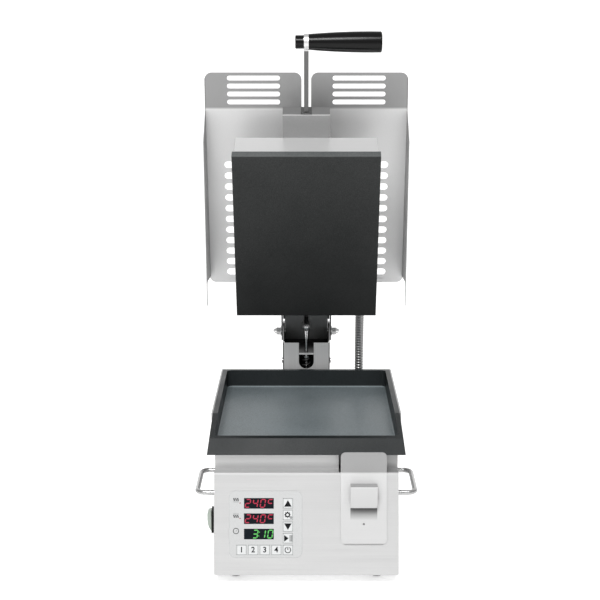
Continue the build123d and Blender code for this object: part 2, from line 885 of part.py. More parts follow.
# Lifting rod with a slotted eye at the top and a collar that rests on the spring
collar_z = lug.Z - collar_drop
rod_end_z = lug.Z - rod_reach
with BuildPart() as lift_rod:
    with BuildSketch(across(-eye_thickness / 2)):
        with Locations((lug.Y, lug.Z)):
            SlotOverall(2 * eye_half_length, 2 * eye_half_height)
    extrude(amount=eye_thickness)
    with BuildSketch(Plane.XY.offset(rod_end_z)):
        with Locations((0, lug.Y)):
            Circle(rod_radius)
    extrude(amount=rod_reach)
    with BuildSketch(Plane.XY.offset(collar_z)):
        with Locations((0, lug.Y)):
            Circle(collar_radius)
    extrude(amount=-collar_height)
    with BuildSketch(across(-eye_thickness / 2)):
        with Locations((lug.Y, lug.Z)):
            SlotOverall(eye_slot_length, eye_slot_height)
    extrude(amount=eye_thickness, mode=Mode.SUBTRACT)
write(lift_rod, "lift_rod")

# Spring cup that hangs in the deck, and the lifting spring in it
cup_floor = deck_z - cup_depth
with BuildPart() as spring_cup:
    with BuildSketch(Plane.XY.offset(deck_z + cup_lip)):
        with Locations((0, lug.Y)):
            Circle(cup_inner + cup_wall + cup_lip)
    extrude(amount=-cup_lip)
    with BuildSketch(Plane.XY.offset(deck_z)):
        with Locations((0, lug.Y)):
            Circle(cup_inner + cup_wall)
    extrude(amount=-cup_depth)
    with BuildSketch(Plane.XY.offset(deck_z + cup_lip)):
        with Locations((0, lug.Y)):
            Circle(cup_inner)
    extrude(amount=-cup_lip - cup_depth + cup_wall, mode=Mode.SUBTRACT)
write(spring_cup, "spring_cup")

spring_low = cup_floor + cup_wall
spring_high = collar_z - collar_height
with BuildPart() as lift_spring:
    with BuildSketch(Plane.XY.offset(spring_low)):
        with Locations((0, lug.Y)):
            Circle(spring_outer)
            Circle(spring_inner, mode=Mode.SUBTRACT)
    extrude(amount=spring_high - spring_low)
write(lift_spring, "lift_spring")

# Arm: a tapering channel whose side walls straddle the post
arm_outline = [
    (-arm_half_front, arm_front),
    (arm_half_front, arm_front),
    (arm_half_front, -arm_taper),
    (arm_half_rear, -arm_parallel),
    (arm_half_rear, arm_tail),
    (-arm_half_rear, arm_tail),
    (-arm_half_rear, -arm_parallel),
    (-arm_half_front, -arm_taper),
]
arm_hollow = [
    (-arm_half_front + arm_wall, arm_front + arm_wall),
    (arm_half_front - arm_wall, arm_front + arm_wall),
    (arm_half_front - arm_wall, -arm_taper),
    (arm_half_rear - arm_wall, -arm_parallel),
    (arm_half_rear - arm_wall, arm_tail),
    (-arm_half_rear + arm_wall, arm_tail),
    (-arm_half_rear + arm_wall, -arm_parallel),
    (-arm_half_front + arm_wall, -arm_taper),
]
cheek_inner = arm_half_rear - arm_wall
with BuildPart() as arm:
    with BuildSketch(lid.offset(arm_low)):
        outline(*arm_outline)
    extrude(amount=arm_height)
    with BuildSketch(lid.offset(arm_low + arm_wall)):
        outline(*arm_hollow)
    extrude(amount=arm_height, mode=Mode.SUBTRACT)
    with BuildSketch(lid.offset(arm_low)):
        for sign in (-1, 1):
            with Locations((sign * (tongue_half + cheek_inner) / 2, (arm_tail - ear_slot_front) / 2)):
                Rectangle(cheek_inner - tongue_half, arm_tail + ear_slot_front)
        with Locations((0, (tongue_tail + arm_tail) / 2)):
            Rectangle(2 * tongue_half, arm_tail - tongue_tail)
        with Locations((0, lug_y - eye_room_shift)):
            Rectangle(2 * lug_inner, eye_room_length)
    extrude(amount=arm_wall, mode=Mode.SUBTRACT)
    for x in (-lug_inner - lug_thickness, lug_inner):
        with BuildSketch(lid_across(x)):
            with Locations((lug_y, lug_z)):
                Circle(lug_reach)
            with Locations((lug_y, (lug_z + arm_low) / 2)):
                Rectangle(2 * lug_reach, arm_low - lug_z)
        extrude(amount=lug_thickness)
    with BuildSketch(lid_across(-arm_half_rear)):
        Circle(pin_radius + pin_fit)
    extrude(amount=2 * arm_half_rear, mode=Mode.SUBTRACT)
    with BuildSketch(lid_across(-lug_inner - lug_thickness)):
        with Locations((lug_y, lug_z)):
            Circle(lug_pin + pin_fit)
    extrude(amount=2 * (lug_inner + lug_thickness), mode=Mode.SUBTRACT)
write(arm, "arm")

with BuildPart() as lug_pin_piece:
    with BuildSketch(lid_across(-lug_inner - lug_thickness)):
        with Locations((lug_y, lug_z)):
            Circle(lug_pin)
    extrude(amount=2 * (lug_inner + lug_thickness))
write(lug_pin_piece, "lug_pin")

with BuildPart() as arm_cover:
    with BuildSketch(lid.offset(arm_top)):
        outline(
            (-arm_half_front, arm_front),
            (arm_half_front, arm_front),
            (arm_half_front, -arm_taper),
            (arm_half_rear, -cover_rear),
            (-arm_half_rear, -cover_rear),
            (-arm_half_front, -arm_taper),
        )
    extrude(amount=cover_sheet)
write(arm_cover, "arm_cover")

# Upper cooking plate and the steel casing over it
plate_mid = (plate_front + plate_back) / 2
with BuildPart() as upper_plate:
    with BuildSketch(lid.offset(plate_low)):
        with Locations((0, plate_mid)):
            Rectangle(plate_width, plate_length)
    extrude(amount=plate_thickness)
    chamfer(upper_plate.faces().sort_by(Axis(lid.origin, lid.z_dir))[0].edges(), 1)
write(upper_plate, "upper_plate")

with BuildPart() as lid_casing:
    with BuildSketch(lid.offset(casing_low)):
        with Locations((0, plate_mid)):
            RectangleRounded(plate_width - 2 * casing_inset, plate_length - 2 * casing_inset, casing_corner)
    extrude(amount=casing_height)
    with BuildSketch(lid.offset(casing_low)):
        with Locations((0, plate_mid)):
            Rectangle(
                plate_width - 2 * (casing_inset + casing_sheet),
                plate_length - 2 * (casing_inset + casing_sheet),
            )
    extrude(amount=casing_height - casing_sheet, mode=Mode.SUBTRACT)
write(lid_casing, "lid_casing")

upper_z = casing_low + element_rod / 2 + element_clearance
upper_points = element_points(
    element_legs, plate_back - element_leg_pitch / 2, plate_front + element_leg_pitch / 2
)
with BuildPart() as upper_element:
    with BuildLine():
        FilletPolyline(*[lid_point(x, y, upper_z) for x, y in upper_points], radius=element_leg_pitch / 2 - 1)
    with BuildSketch(Plane(origin=lid_point(*upper_points[0], upper_z), x_dir=(1, 0, 0), z_dir=-lid.y_dir)):
        RegularPolygon(element_rod / 2, element_sides, major_radius=False, rotation=180 / element_sides)
    sweep()
write(upper_element, "upper_element")

with BuildPart() as insulation:
    with BuildSketch(lid.offset(casing_low + element_rod + 2 * element_clearance)):
        with Locations((0, plate_mid)):
            Rectangle(
                plate_width - 2 * (casing_inset + casing_sheet + element_clearance),
                plate_length - 2 * (casing_inset + casing_sheet + element_clearance),
            )
    extrude(amount=insulation_thickness)
write(insulation, "insulation")

# Handle bar with a round eye, standing on the arm's front end
bar_base = lid_point(0, arm_front, (arm_low + arm_top) / 2)
bar_dir = -lid.y_dir
bar_tip = bar_base + bar_dir * bar_length
bar_side = Plane(origin=(-bar_width / 2, bar_base.Y, bar_base.Z), x_dir=bar_dir, z_dir=(1, 0, 0))
with BuildPart() as handle_bar:
    with BuildSketch(bar_side):
        with Locations((bar_length / 2, 0)):
            Rectangle(bar_length, bar_depth)
        with Locations((bar_length, 0)):
            Circle(eye_radius)
    extrude(amount=bar_width)
    split(bisect_by=Plane(origin=bar_base, x_dir=(1, 0, 0), z_dir=-lid.y_dir), keep=Keep.TOP)
    with BuildSketch(Plane(origin=bar_base, x_dir=(1, 0, 0), z_dir=-lid.y_dir)):
        RectangleRounded(bar_foot_width, arm_height - 2 * arm_wall, arm_wall)
    extrude(amount=arm_wall)
    with BuildSketch(bar_side):
        with Locations((bar_length, 0)):
            Circle(grip_bolt_radius)
    extrude(amount=bar_width, mode=Mode.SUBTRACT)
write(handle_bar, "handle_bar")

# Grip, its bolt and the end cap on the other side of the eye
grip_start = bar_width / 2
grip_axis = Plane(origin=bar_tip, x_dir=(1, 0, 0), z_dir=Vector(0, 0, 1).cross(Vector(1, 0, 0)))
with BuildPart() as grip:
    with BuildSketch(grip_axis):
        with BuildLine():
            near = (grip_start, grip_near_radius)
            middle = (grip_start + grip_length * grip_mid_share, grip_mid_radius)
            far = (grip_start + grip_length - grip_edge, grip_far_radius)
            Polyline((grip_start, grip_bolt_radius), near)
            ThreePointArc(near, middle, far)
            Line(far, (grip_start + grip_length, grip_far_radius - grip_edge))
            Polyline(
                (grip_start + grip_length, grip_far_radius - grip_edge),
                (grip_start + grip_length, 0),
                (grip_start + grip_length - cap_length, 0),
                (grip_start + grip_length - cap_length, grip_bolt_radius),
                (grip_start, grip_bolt_radius),
            )
        make_face()
    revolve(axis=Axis(bar_tip, (1, 0, 0)))
write(grip, "grip")

with BuildPart() as grip_cap:
    with BuildSketch(across(-grip_start)):
        with Locations((bar_tip.Y, bar_tip.Z)):
            Circle(cap_radius)
    extrude(amount=-cap_length)
    chamfer(grip_cap.faces().sort_by(Axis.X)[0].edges(), 1)
    with BuildSketch(across(-grip_start)):
        with Locations((bar_tip.Y, bar_tip.Z)):
            Circle(grip_bolt_radius)
    extrude(amount=-cap_length / 2, mode=Mode.SUBTRACT)
write(grip_cap, "grip_cap")

with BuildPart() as grip_bolt:
    with BuildSketch(across(-grip_start - cap_length / 2)):
        with Locations((bar_tip.Y, bar_tip.Z)):
            Circle(grip_bolt_radius)
    extrude(amount=cap_length / 2 + 2 * grip_start + grip_length - 2 * cap_length)
write(grip_bolt, "grip_bolt")

# Splash guard: a slotted back sheet with a bent, notched top and two wings
guard_pivot_z = arm_top + cover_sheet + guard_pivot_rise
pivot = lid_point(0, guard_pivot_y, guard_pivot_z)
guard_angle = radians(open_angle + guard_back_tilt)
guard = Plane(origin=pivot, x_dir=(1, 0, 0), z_dir=(0, sin(guard_angle), cos(guard_angle)))


def guard_across(x):
    """The plane that faces right at x, with the guard's own length and height as its axes."""
    return Plane(origin=guard.from_local_coords(Vector(x, 0, 0)), x_dir=guard.y_dir, z_dir=(1, 0, 0))


guard_under = -guard_drop
guard_end = -guard_start - guard_length
flange_angle = radians(open_angle + guard_back_tilt + guard_flange_bend)
flange = Plane(
    origin=guard.from_local_coords(Vector(0, guard_end, guard_under)),
    x_dir=(1, 0, 0),
    z_dir=(0, sin(flange_angle), cos(flange_angle)),
)
with BuildPart() as splash_guard:
    with BuildSketch(guard.offset(guard_under)) as back_sheet:
        with Locations((0, -guard_start - guard_length / 2)):
            Rectangle(2 * guard_half, guard_length)
        fillet(back_sheet.vertices().group_by(Axis.Y)[-1], guard_low_corner)
        with Locations((0, -guard_start - guard_cutout_height / 2)):
            Rectangle(2 * guard_cutout_half, guard_cutout_height, mode=Mode.SUBTRACT)
    extrude(amount=guard_sheet)
    hem_x = (guard_cutout_half + guard_hem_outer) / 2
    with BuildSketch(guard.offset(guard_under)):
        for sign in (-1, 1):
            with Locations((sign * hem_x, -guard_start - guard_hem_height / 2)):
                Rectangle(guard_hem_outer - guard_cutout_half, guard_hem_height)
    extrude(amount=-guard_sheet)
    with BuildSketch(flange) as top_sheet:
        with Locations((0, -guard_flange / 2)):
            Rectangle(2 * guard_half, guard_flange)
        with Locations((0, -guard_flange / 2)):
            Rectangle(guard_notch, guard_flange, mode=Mode.SUBTRACT)
        fillet(top_sheet.vertices().group_by(Axis.Y)[0], guard_corner)
    extrude(amount=guard_sheet)
    wing_lean = (wing_depth_low - wing_depth_top) / (guard_length - wing_shoulder)
    prong_root = (-guard_start - wing_rise, guard_under - wing_depth_low + wing_prong + wing_rise * wing_lean)
    for x in (-guard_half, guard_half - guard_sheet):
        with BuildSketch(guard_across(x)) as wing:
            outline(
                (-guard_start - guard_low_corner, guard_under + guard_sheet),
                prong_root,
                (-guard_start + wing_toe, guard_under - wing_depth_low + wing_prong),
                (-guard_start + wing_toe, guard_under - wing_depth_low),
                (guard_end + wing_shoulder, guard_under - wing_depth_top),
                (guard_end, guard_under + guard_sheet),
            )
            fillet(wing.vertices().sort_by_distance((*prong_root, 0))[0], wing_round)
        extrude(amount=guard_sheet)
    slot_x = guard_slot_outer - guard_slot_length / 2
    with BuildSketch(guard.offset(guard_under)):
        for sign in (-1, 1):
            with Locations(
                *[
                    (sign * slot_x, -guard_start - guard_slot_first - i * guard_slot_pitch)
                    for i in range(guard_slots)
                ]
            ):
                SlotOverall(guard_slot_length, guard_slot_width)
    extrude(amount=guard_sheet, mode=Mode.SUBTRACT)
    with BuildSketch(flange):
        for sign in (-1, 1):
            with Locations(
                *[
                    (sign * flange_slot_x, -flange_slot_first - i * flange_slot_pitch)
                    for i in range(flange_slots)
                ]
            ):
                SlotOverall(flange_slot_length, flange_slot_width)
    extrude(amount=guard_sheet, mode=Mode.SUBTRACT)
    ear_root = -guard_start - guard_cutout_height
    for sign in (-1, 1):
        ear_x = sign * guard_ear_x - guard_ear_thickness / 2
        with BuildSketch(guard_across(ear_x)):
            Circle(guard_ear_radius)
            outline(
                (ear_root - 2 * guard_ear_radius, guard_under + guard_sheet / 2),
                (ear_root, guard_under + guard_sheet / 2),
                (0, -guard_ear_radius),
                (0, guard_ear_radius),
            )
        extrude(amount=guard_ear_thickness)
    with BuildSketch(guard_across(-guard_ear_x - guard_ear_thickness)):
        Circle(guard_pin + pin_fit)
    extrude(amount=2 * (guard_ear_x + guard_ear_thickness), mode=Mode.SUBTRACT)
write(splash_guard, "splash_guard")

# Guard bracket on the arm and the pin that the guard tilts on
bracket_low = arm_top + cover_sheet
lug_near = guard_ear_x + guard_ear_thickness / 2 + guard_lug_gap
with BuildPart() as guard_bracket:
    with BuildSketch(lid.offset(bracket_low)):
        with Locations((0, guard_pivot_y + guard_ear_radius)):
            Rectangle(2 * (lug_near + guard_ear_thickness), 2 * guard_ear_radius)
    extrude(amount=cover_sheet)
    for x in (-lug_near - guard_ear_thickness, lug_near):
        with BuildSketch(lid_across(x)):
            with Locations((guard_pivot_y, guard_pivot_z)):
                Circle(guard_ear_radius)
            with Locations((guard_pivot_y + guard_ear_radius / 2, (guard_pivot_z + bracket_low) / 2)):
                Rectangle(guard_ear_radius, guard_pivot_z - bracket_low)
        extrude(amount=guard_ear_thickness)
    with BuildSketch(lid_across(-lug_near - guard_ear_thickness)):
        with Locations((guard_pivot_y, guard_pivot_z)):
            Circle(guard_pin + pin_fit)
    extrude(amount=2 * (lug_near + guard_ear_thickness), mode=Mode.SUBTRACT)
write(guard_bracket, "guard_bracket")

with BuildPart() as guard_pin_piece:
    with BuildSketch(lid_across(-lug_near - 2 * guard_ear_thickness)):
        with Locations((guard_pivot_y, guard_pivot_z)):
            Circle(guard_pin)
    extrude(amount=2 * (lug_near + 2 * guard_ear_thickness))
write(guard_pin_piece, "guard_pin")

# Ribbed conduit from the deck to the back of the lid, and its two collars
conduit_radius = conduit_drop / sin(conduit_turn)
conduit_centre_y = conduit_end_y - conduit_radius


def conduit_plane(share):
    """The section plane of the conduit, share 0 at the deck and 1 at the lid."""
    turn = share * conduit_turn
    return Plane(
        origin=(
            conduit_x,
            conduit_centre_y + conduit_radius * cos(turn),
            conduit_end_z + conduit_radius * sin(turn),
        ),
        x_dir=(1, 0, 0),
        z_dir=(0, -sin(turn), cos(turn)),
    )


rib_steps = [(0.0, conduit_root), (0.25, conduit_root), (0.5, conduit_rib), (0.75, conduit_rib)]
with BuildPart() as conduit:
    for rib in range(conduit_ribs):
        for step, radius in rib_steps:
            with BuildSketch(conduit_plane((rib + step) / conduit_ribs)):
                Circle(radius)
    with BuildSketch(conduit_plane(1)):
        Circle(conduit_root)
    loft(ruled=True)
    with BuildSketch(conduit_plane(0)):
        Circle(conduit_bore)
    with BuildLine():
        ThreePointArc(*[conduit_plane(share).origin for share in (0, 0.5, 1)])
    sweep(mode=Mode.SUBTRACT)
write(conduit, "conduit")

with BuildPart() as conduit_collar_low:
    with BuildSketch(Plane.XY.offset(deck_z)):
        with Locations((conduit_x, conduit_end_y)):
            RegularPolygon(collar_hex, 6)
            Circle(conduit_bore, mode=Mode.SUBTRACT)
    extrude(amount=collar_length)
write(conduit_collar_low, "conduit_collar_low")

with BuildPart() as conduit_collar_high:
    with BuildSketch(Plane(origin=conduit_start, x_dir=(1, 0, 0), z_dir=lid.y_dir)):
        RegularPolygon(collar_hex, 6)
        Circle(conduit_bore, mode=Mode.SUBTRACT)
    extrude(amount=-collar_length)
write(conduit_collar_high, "conduit_collar_high")

# Where the joints are
joint_places = {"hinge": (hinge_y, hinge_z), "lug": (lug.Y, lug.Z), "guard pivot": (pivot.Y, pivot.Z)}
for place, point in joint_places.items():
    print(place, *[round(value, 3) for value in point])
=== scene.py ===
from math import atan2, cos, pi, radians, sin

import bmesh
import bpy
from mathutils import Euler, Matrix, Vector


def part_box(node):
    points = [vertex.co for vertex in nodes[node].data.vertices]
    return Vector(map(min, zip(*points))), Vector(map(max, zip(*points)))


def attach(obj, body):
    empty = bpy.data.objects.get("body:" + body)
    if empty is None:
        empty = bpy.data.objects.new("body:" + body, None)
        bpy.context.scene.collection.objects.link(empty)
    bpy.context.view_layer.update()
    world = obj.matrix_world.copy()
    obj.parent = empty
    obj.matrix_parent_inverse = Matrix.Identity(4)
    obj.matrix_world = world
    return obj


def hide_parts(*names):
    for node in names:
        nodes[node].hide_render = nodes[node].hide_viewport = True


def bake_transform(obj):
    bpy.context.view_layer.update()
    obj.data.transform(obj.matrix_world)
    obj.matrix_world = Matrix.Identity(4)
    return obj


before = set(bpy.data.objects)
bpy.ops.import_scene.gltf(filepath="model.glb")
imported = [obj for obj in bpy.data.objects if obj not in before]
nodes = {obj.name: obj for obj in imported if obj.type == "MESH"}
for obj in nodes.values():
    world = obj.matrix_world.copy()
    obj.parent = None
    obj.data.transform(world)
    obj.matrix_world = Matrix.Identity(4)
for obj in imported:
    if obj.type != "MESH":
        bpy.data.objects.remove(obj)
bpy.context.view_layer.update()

MM = 0.001

# The photograph's view: lens, height, distance and tilt
PHOTO_SIDE_PX = 600
FOCAL_PX = 1350
SENSOR_MM = 36
CENTRE_COLUMN_PX = 306.3
CAMERA_HEIGHT = 0.9045
CAMERA_DISTANCE = 2.0505
CAMERA_TILT = radians(11.92)

# Sizes of the object that the small pieces are placed by
PANEL_TILT = atan2(40, 161)
PANEL_TOP = 176 * MM
BODY_HALF = 150 * MM
LID_ANGLE = radians(68)
FILM_X = -66 * MM
FILM_RISE = 82.5 * MM
FILM_WIDTH = 119 * MM
FILM_HEIGHT = 108 * MM
FILM_FACE = 0.4 * MM
WINDOW_X = -77 * MM
WINDOW_LOW = 66.8 * MM
WINDOW_PITCH = 24.8 * MM
WINDOW_WIDTH = 48.4 * MM
KEY_X = -29.9 * MM
KEY_LOW = 41.2 * MM
KEY_PITCH = 18.8 * MM
KEY_SIZE = 15.6 * MM
KEY_FACE = 1.0 * MM
PRINT_THICKNESS = 0.08 * MM
TRAY_X = 93.4 * MM
TRAY_HALF = 37 * MM
TRAY_SHEET = 1.8 * MM

panel_low = Vector(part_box("front_panel")[0])


def panel_point(x, rise, out):
    """A point of the sloping panel: x across, rise up the slope, out from its face."""
    return Vector((
        x,
        panel_low.y + rise * sin(PANEL_TILT) - out * cos(PANEL_TILT),
        panel_low.z + rise * cos(PANEL_TILT) + out * sin(PANEL_TILT),
    ))


def add_piece(name, mesh, material):
    """Puts a mesh in the scene with its material."""
    piece = bpy.data.objects.new(name, mesh)
    bpy.context.scene.collection.objects.link(piece)
    mesh.materials.clear()
    mesh.materials.append(material)
    return piece


def new_piece(name, mesh, material, body):
    """Adds a piece that rides on one body."""
    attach(add_piece(name, mesh, material), body)


def made(bm, name):
    """The mesh of a working mesh, with its faces turned outward."""
    bmesh.ops.recalc_face_normals(bm, faces=bm.faces)
    mesh = bpy.data.meshes.new(name)
    bm.to_mesh(mesh)
    bm.free()
    return mesh


def prisms(shapes, place, low, high):
    """A mesh of flat shapes, each an outer loop with an optional inner one, between two heights."""
    bm = bmesh.new()
    for loops in shapes:
        rings = []
        for loop in loops:
            bottom = [bm.verts.new(place(x, y, low)) for x, y in loop]
            top = [bm.verts.new(place(x, y, high)) for x, y in loop]
            rings.append((bottom, top))
            count = len(loop)
            for i in range(count):
                j = (i + 1) % count
                bm.faces.new((bottom[i], bottom[j], top[j], top[i]))
        if len(rings) == 1:
            bm.faces.new(rings[0][1])
            bm.faces.new(rings[0][0])
        else:
            for outer, inner in zip(rings[0], rings[1]):
                count = len(outer)
                for i in range(count):
                    j = (i + 1) % count
                    bm.faces.new((outer[i], outer[j], inner[j], inner[i]))
    return made(bm, "prisms")


def lofted(rings, closed=False, smooth_ends=False):
    """A mesh through equal rings, closed into a loop or capped at its two ends."""
    bm = bmesh.new()
    layers = [[bm.verts.new(point) for point in ring] for ring in rings]
    count = len(layers[0])
    following = layers[1:] + (layers[:1] if closed else [])
    for first, second in zip(layers, following):
        for i in range(count):
            j = (i + 1) % count
            bm.faces.new((first[i], first[j], second[j], second[i]))
    if not closed:
        bm.faces.new(layers[0])
        bm.faces.new(layers[-1])
    for face in bm.faces:
        face.smooth = smooth_ends or len(face.verts) == 4
    return made(bm, "loft")


def tube(points, radii, steps=24):
    """A round tube along a path, each ring square to it and with a radius of its own."""
    rings = []
    count = len(points)
    side = Vector((1, 0, 0))
    for i, point in enumerate(points):
        ahead = points[min(i + 1, count - 1)] - points[max(i - 1, 0)]
        ahead.normalize()
        side = (side - ahead * side.dot(ahead)).normalized()
        up = ahead.cross(side)
        rings.append([
            point + (side * cos(2 * pi * j / steps) + up * sin(2 * pi * j / steps)) * radii[i]
            for j in range(steps)
        ])
    return lofted(rings, smooth_ends=True)


def rounded(cx, cy, width, height, radius, steps=6):
    """The outline of a rectangle with rounded corners."""
    points = []
    corners = ((1, 1, 0), (-1, 1, 90), (-1, -1, 180), (1, -1, 270))
    for sx, sy, start in corners:
        for step in range(steps + 1):
            turn = radians(start + 90 * step / steps)
            points.append((
                cx + sx * (width / 2 - radius) + radius * cos(turn),
                cy + sy * (height / 2 - radius) + radius * sin(turn),
            ))
    return points


def circle(cx, cy, radius, steps=32):
    """The outline of a circle."""
    return [
        (cx + radius * cos(2 * pi * i / steps), cy + radius * sin(2 * pi * i / steps))
        for i in range(steps)
    ]


def arc_band(cx, cy, radius, width, start, end, steps=28):
    """The outline of part of a ring, from start to end in degrees."""
    outer = []
    inner = []
    for i in range(steps + 1):
        turn = radians(start + (end - start) * i / steps)
        outer.append((cx + (radius + width / 2) * cos(turn), cy + (radius + width / 2) * sin(turn)))
        inner.append((cx + (radius - width / 2) * cos(turn), cy + (radius - width / 2) * sin(turn)))
    return outer + inner[::-1]


# Materials: the stretch of a brushed grain for each axis that its lines run along
GRAIN = {"x": (6, 900, 900), "y": (900, 6, 900), "z": (900, 900, 6)}


def shader(name, colour, metallic, roughness):
    """A new material with its main shader, ready for more nodes."""
    material = bpy.data.materials.new(name)
    material.use_nodes = True
    tree = material.node_tree
    main = tree.nodes["Principled BSDF"]
    main.inputs["Base Color"].default_value = (*colour, 1)
    main.inputs["Metallic"].default_value = metallic
    main.inputs["Roughness"].default_value = roughness
    return material, tree, main


def noise(tree, scale, stretch=(1, 1, 1), detail=4.0):
    """Noise in the object's own coordinates, stretched for a grain."""
    coords = tree.nodes.new("ShaderNodeTexCoord")
    mapping = tree.nodes.new("ShaderNodeMapping")
    mapping.inputs["Scale"].default_value = stretch
    texture = tree.nodes.new("ShaderNodeTexNoise")
    texture.inputs["Scale"].default_value = scale
    texture.inputs["Detail"].default_value = detail
    tree.links.new(coords.outputs["Object"], mapping.inputs["Vector"])
    tree.links.new(mapping.outputs["Vector"], texture.inputs["Vector"])
    return texture.outputs["Fac"]


def spread(tree, value, low, high, near=0.3, far=0.7):
    """Maps a value from the range near to far to the range low to high."""
    remap = tree.nodes.new("ShaderNodeMapRange")
    remap.inputs["From Min"].default_value = near
    remap.inputs["From Max"].default_value = far
    remap.inputs["To Min"].default_value = low
    remap.inputs["To Max"].default_value = high
    tree.links.new(value, remap.inputs["Value"])
    return remap.outputs["Result"]


def tint(tree, value, dark, light, near=0.3, far=0.7):
    """A colour between dark and light, by a 0 to 1 value."""
    ramp = tree.nodes.new("ShaderNodeValToRGB")
    ramp.color_ramp.elements[0].position = near
    ramp.color_ramp.elements[0].color = (*dark, 1)
    ramp.color_ramp.elements[1].position = far
    ramp.color_ramp.elements[1].color = (*light, 1)
    tree.links.new(value, ramp.inputs["Fac"])
    return ramp.outputs["Color"]


def maths(tree, operation, *values):
    """The result of a sum on numbers and on other nodes' outputs."""
    node = tree.nodes.new("ShaderNodeMath")
    node.operation = operation
    for socket, value in zip(node.inputs, values):
        if isinstance(value, float):
            socket.default_value = value
        else:
            tree.links.new(value, socket)
    return node.outputs[0]


def coordinates(tree):
    """The three coordinates of the object's own space."""
    coords = tree.nodes.new("ShaderNodeTexCoord")
    parts = tree.nodes.new("ShaderNodeSeparateXYZ")
    tree.links.new(coords.outputs["Object"], parts.inputs["Vector"])
    return parts.outputs


def scaled(tree, colour, gain):
    """A colour times a gain."""
    scale = tree.nodes.new("ShaderNodeVectorMath")
    scale.operation = "SCALE"
    tree.links.new(colour, scale.inputs[0])
    tree.links.new(gain, scale.inputs["Scale"])
    return scale.outputs["Vector"]


def fade(axis, start, end, before, after):
    """A gain that goes from before to after along an axis."""
    return axis, start, end, before, after


def patch(low, high, gain, top_gain=None):
    """A box with one gain, or with a gain that changes from its bottom to its top."""
    return low, high, gain, gain if top_gain is None else top_gain


def shaded(tree, colour, fades, patches):
    """A colour with painted light and shade by place on the piece: gains along axes and inside boxes."""
    for axis, start, end, before, after in fades:
        along = coordinates(tree)[axis]
        colour = scaled(tree, colour, spread(tree, along, before, after, start, end))
    for low, high, gain, top_gain in patches:
        parts = coordinates(tree)
        inside = None
        for axis in range(3):
            middle = (low[axis] + high[axis]) / 2
            half = (high[axis] - low[axis]) / 2
            near = maths(tree, "COMPARE", parts[axis], middle, half)
            inside = maths(tree, "MULTIPLY", inside, near) if inside else near
        change = spread(tree, parts["Z"], gain - 1, top_gain - 1, low[2], high[2])
        colour = scaled(tree, colour, maths(tree, "MULTIPLY_ADD", change, inside, 1.0))
    return colour


def finished(tree, main, colour, value, roughness):
    """Links a colour to the main shader, and a roughness that wanders a little with a value."""
    tree.links.new(colour, main.inputs["Base Color"])
    tree.links.new(spread(tree, value, roughness - 0.05, roughness + 0.07), main.inputs["Roughness"])


def bump(tree, main, value, strength, distance):
    """Gives the main shader a fine relief."""
    node = tree.nodes.new("ShaderNodeBump")
    node.inputs["Strength"].default_value = strength
    node.inputs["Distance"].default_value = distance
    tree.links.new(value, node.inputs["Height"])
    tree.links.new(node.outputs["Normal"], main.inputs["Normal"])


def brushed(name, tone, grain, roughness, contrast, metallic=1.0, fades=(), patches=()):
    """Brushed sheet steel: fine lines along the grain axis, with broad faint clouds."""
    material, tree, main = shader(name, (tone, tone, tone), metallic, roughness)
    lines = noise(tree, scale=1.0, stretch=GRAIN[grain], detail=3.0)
    clouds = noise(tree, scale=7.0, detail=2.0)
    mix = maths(tree, "MULTIPLY_ADD", clouds, 0.5, lines)
    low = tone * (1 - contrast)
    high = tone * (1 + contrast)
    light = (high, high, tone * (1 + contrast * 0.95))
    colour = tint(tree, mix, (low, low, low), light, near=0.5, far=1.0)
    finished(tree, main, shaded(tree, colour, fades, patches), lines, roughness)
    bump(tree, main, lines, strength=0.12, distance=0.2 * MM)
    return material


def enamel(name, dark, light, roughness, grit, strength, gloss, fades=(), patches=()):
    """Black enamelled iron with a fine sandy surface."""
    material, tree, main = shader(name, dark, 0.0, roughness)
    main.inputs["Specular IOR Level"].default_value = gloss
    speckle = noise(tree, scale=grit, detail=6.0)
    clouds = noise(tree, scale=9.0, detail=3.0)
    mix = maths(tree, "MULTIPLY_ADD", clouds, 0.35, speckle)
    colour = tint(tree, mix, dark, light, near=0.5, far=0.85)
    finished(tree, main, shaded(tree, colour, fades, patches), clouds, roughness)
    bump(tree, main, speckle, strength, distance=0.6 * MM)
    return material


def plastic(name, colour, roughness, grit=1200.0, strength=0.05, gloss=0.5):
    """Moulded plastic, rubber, ink or the like with a fine texture."""
    material, tree, main = shader(name, colour, 0.0, roughness)
    main.inputs["Specular IOR Level"].default_value = gloss
    grain = noise(tree, grit)
    dark = tuple(part * 0.88 for part in colour)
    light = tuple(min(1.0, part * 1.12) for part in colour)
    tree.links.new(tint(tree, grain, dark, light), main.inputs["Base Color"])
    tree.links.new(spread(tree, grain, roughness * 0.85, roughness * 1.2), main.inputs["Roughness"])
    bump(tree, main, grain, strength, distance=0.2 * MM)
    return material


def glow(name, colour, power):
    """A lit display segment, a little uneven."""
    material, tree, main = shader(name, tuple(part * 0.25 for part in colour), 0.0, 0.4)
    flicker = noise(tree, scale=1500.0)
    tree.links.new(spread(tree, flicker, power * 0.85, power * 1.15), main.inputs["Emission Strength"])
    main.inputs["Emission Color"].default_value = (*colour, 1)
    return material


# Painted light and shade by place: how far a box or a fade reaches past the face or the fold that it is for
SKIN = 1 * MM
FOLD = 2 * MM

# Post: painted shade inside its channel and along its two front edges
post_low, post_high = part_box("hinge_post")
post_half = 44 * MM
post_cover_sheet = 1.5 * MM
post_edge_x = 44.7 * MM
post_edge_half = 1.1 * MM
post_painted_shade = [patch(
    (-post_half, post_low.y + FOLD, post_low.z),
    (post_half, post_high.y + post_cover_sheet / 2, post_high.z),
    gain=0.05,
)]
for side in (-1, 1):
    post_painted_shade.append(patch(
        (side * post_edge_x - post_edge_half, post_low.y - SKIN, post_low.z),
        (side * post_edge_x + post_edge_half, post_low.y + SKIN, post_high.z),
        gain=0.12,
    ))
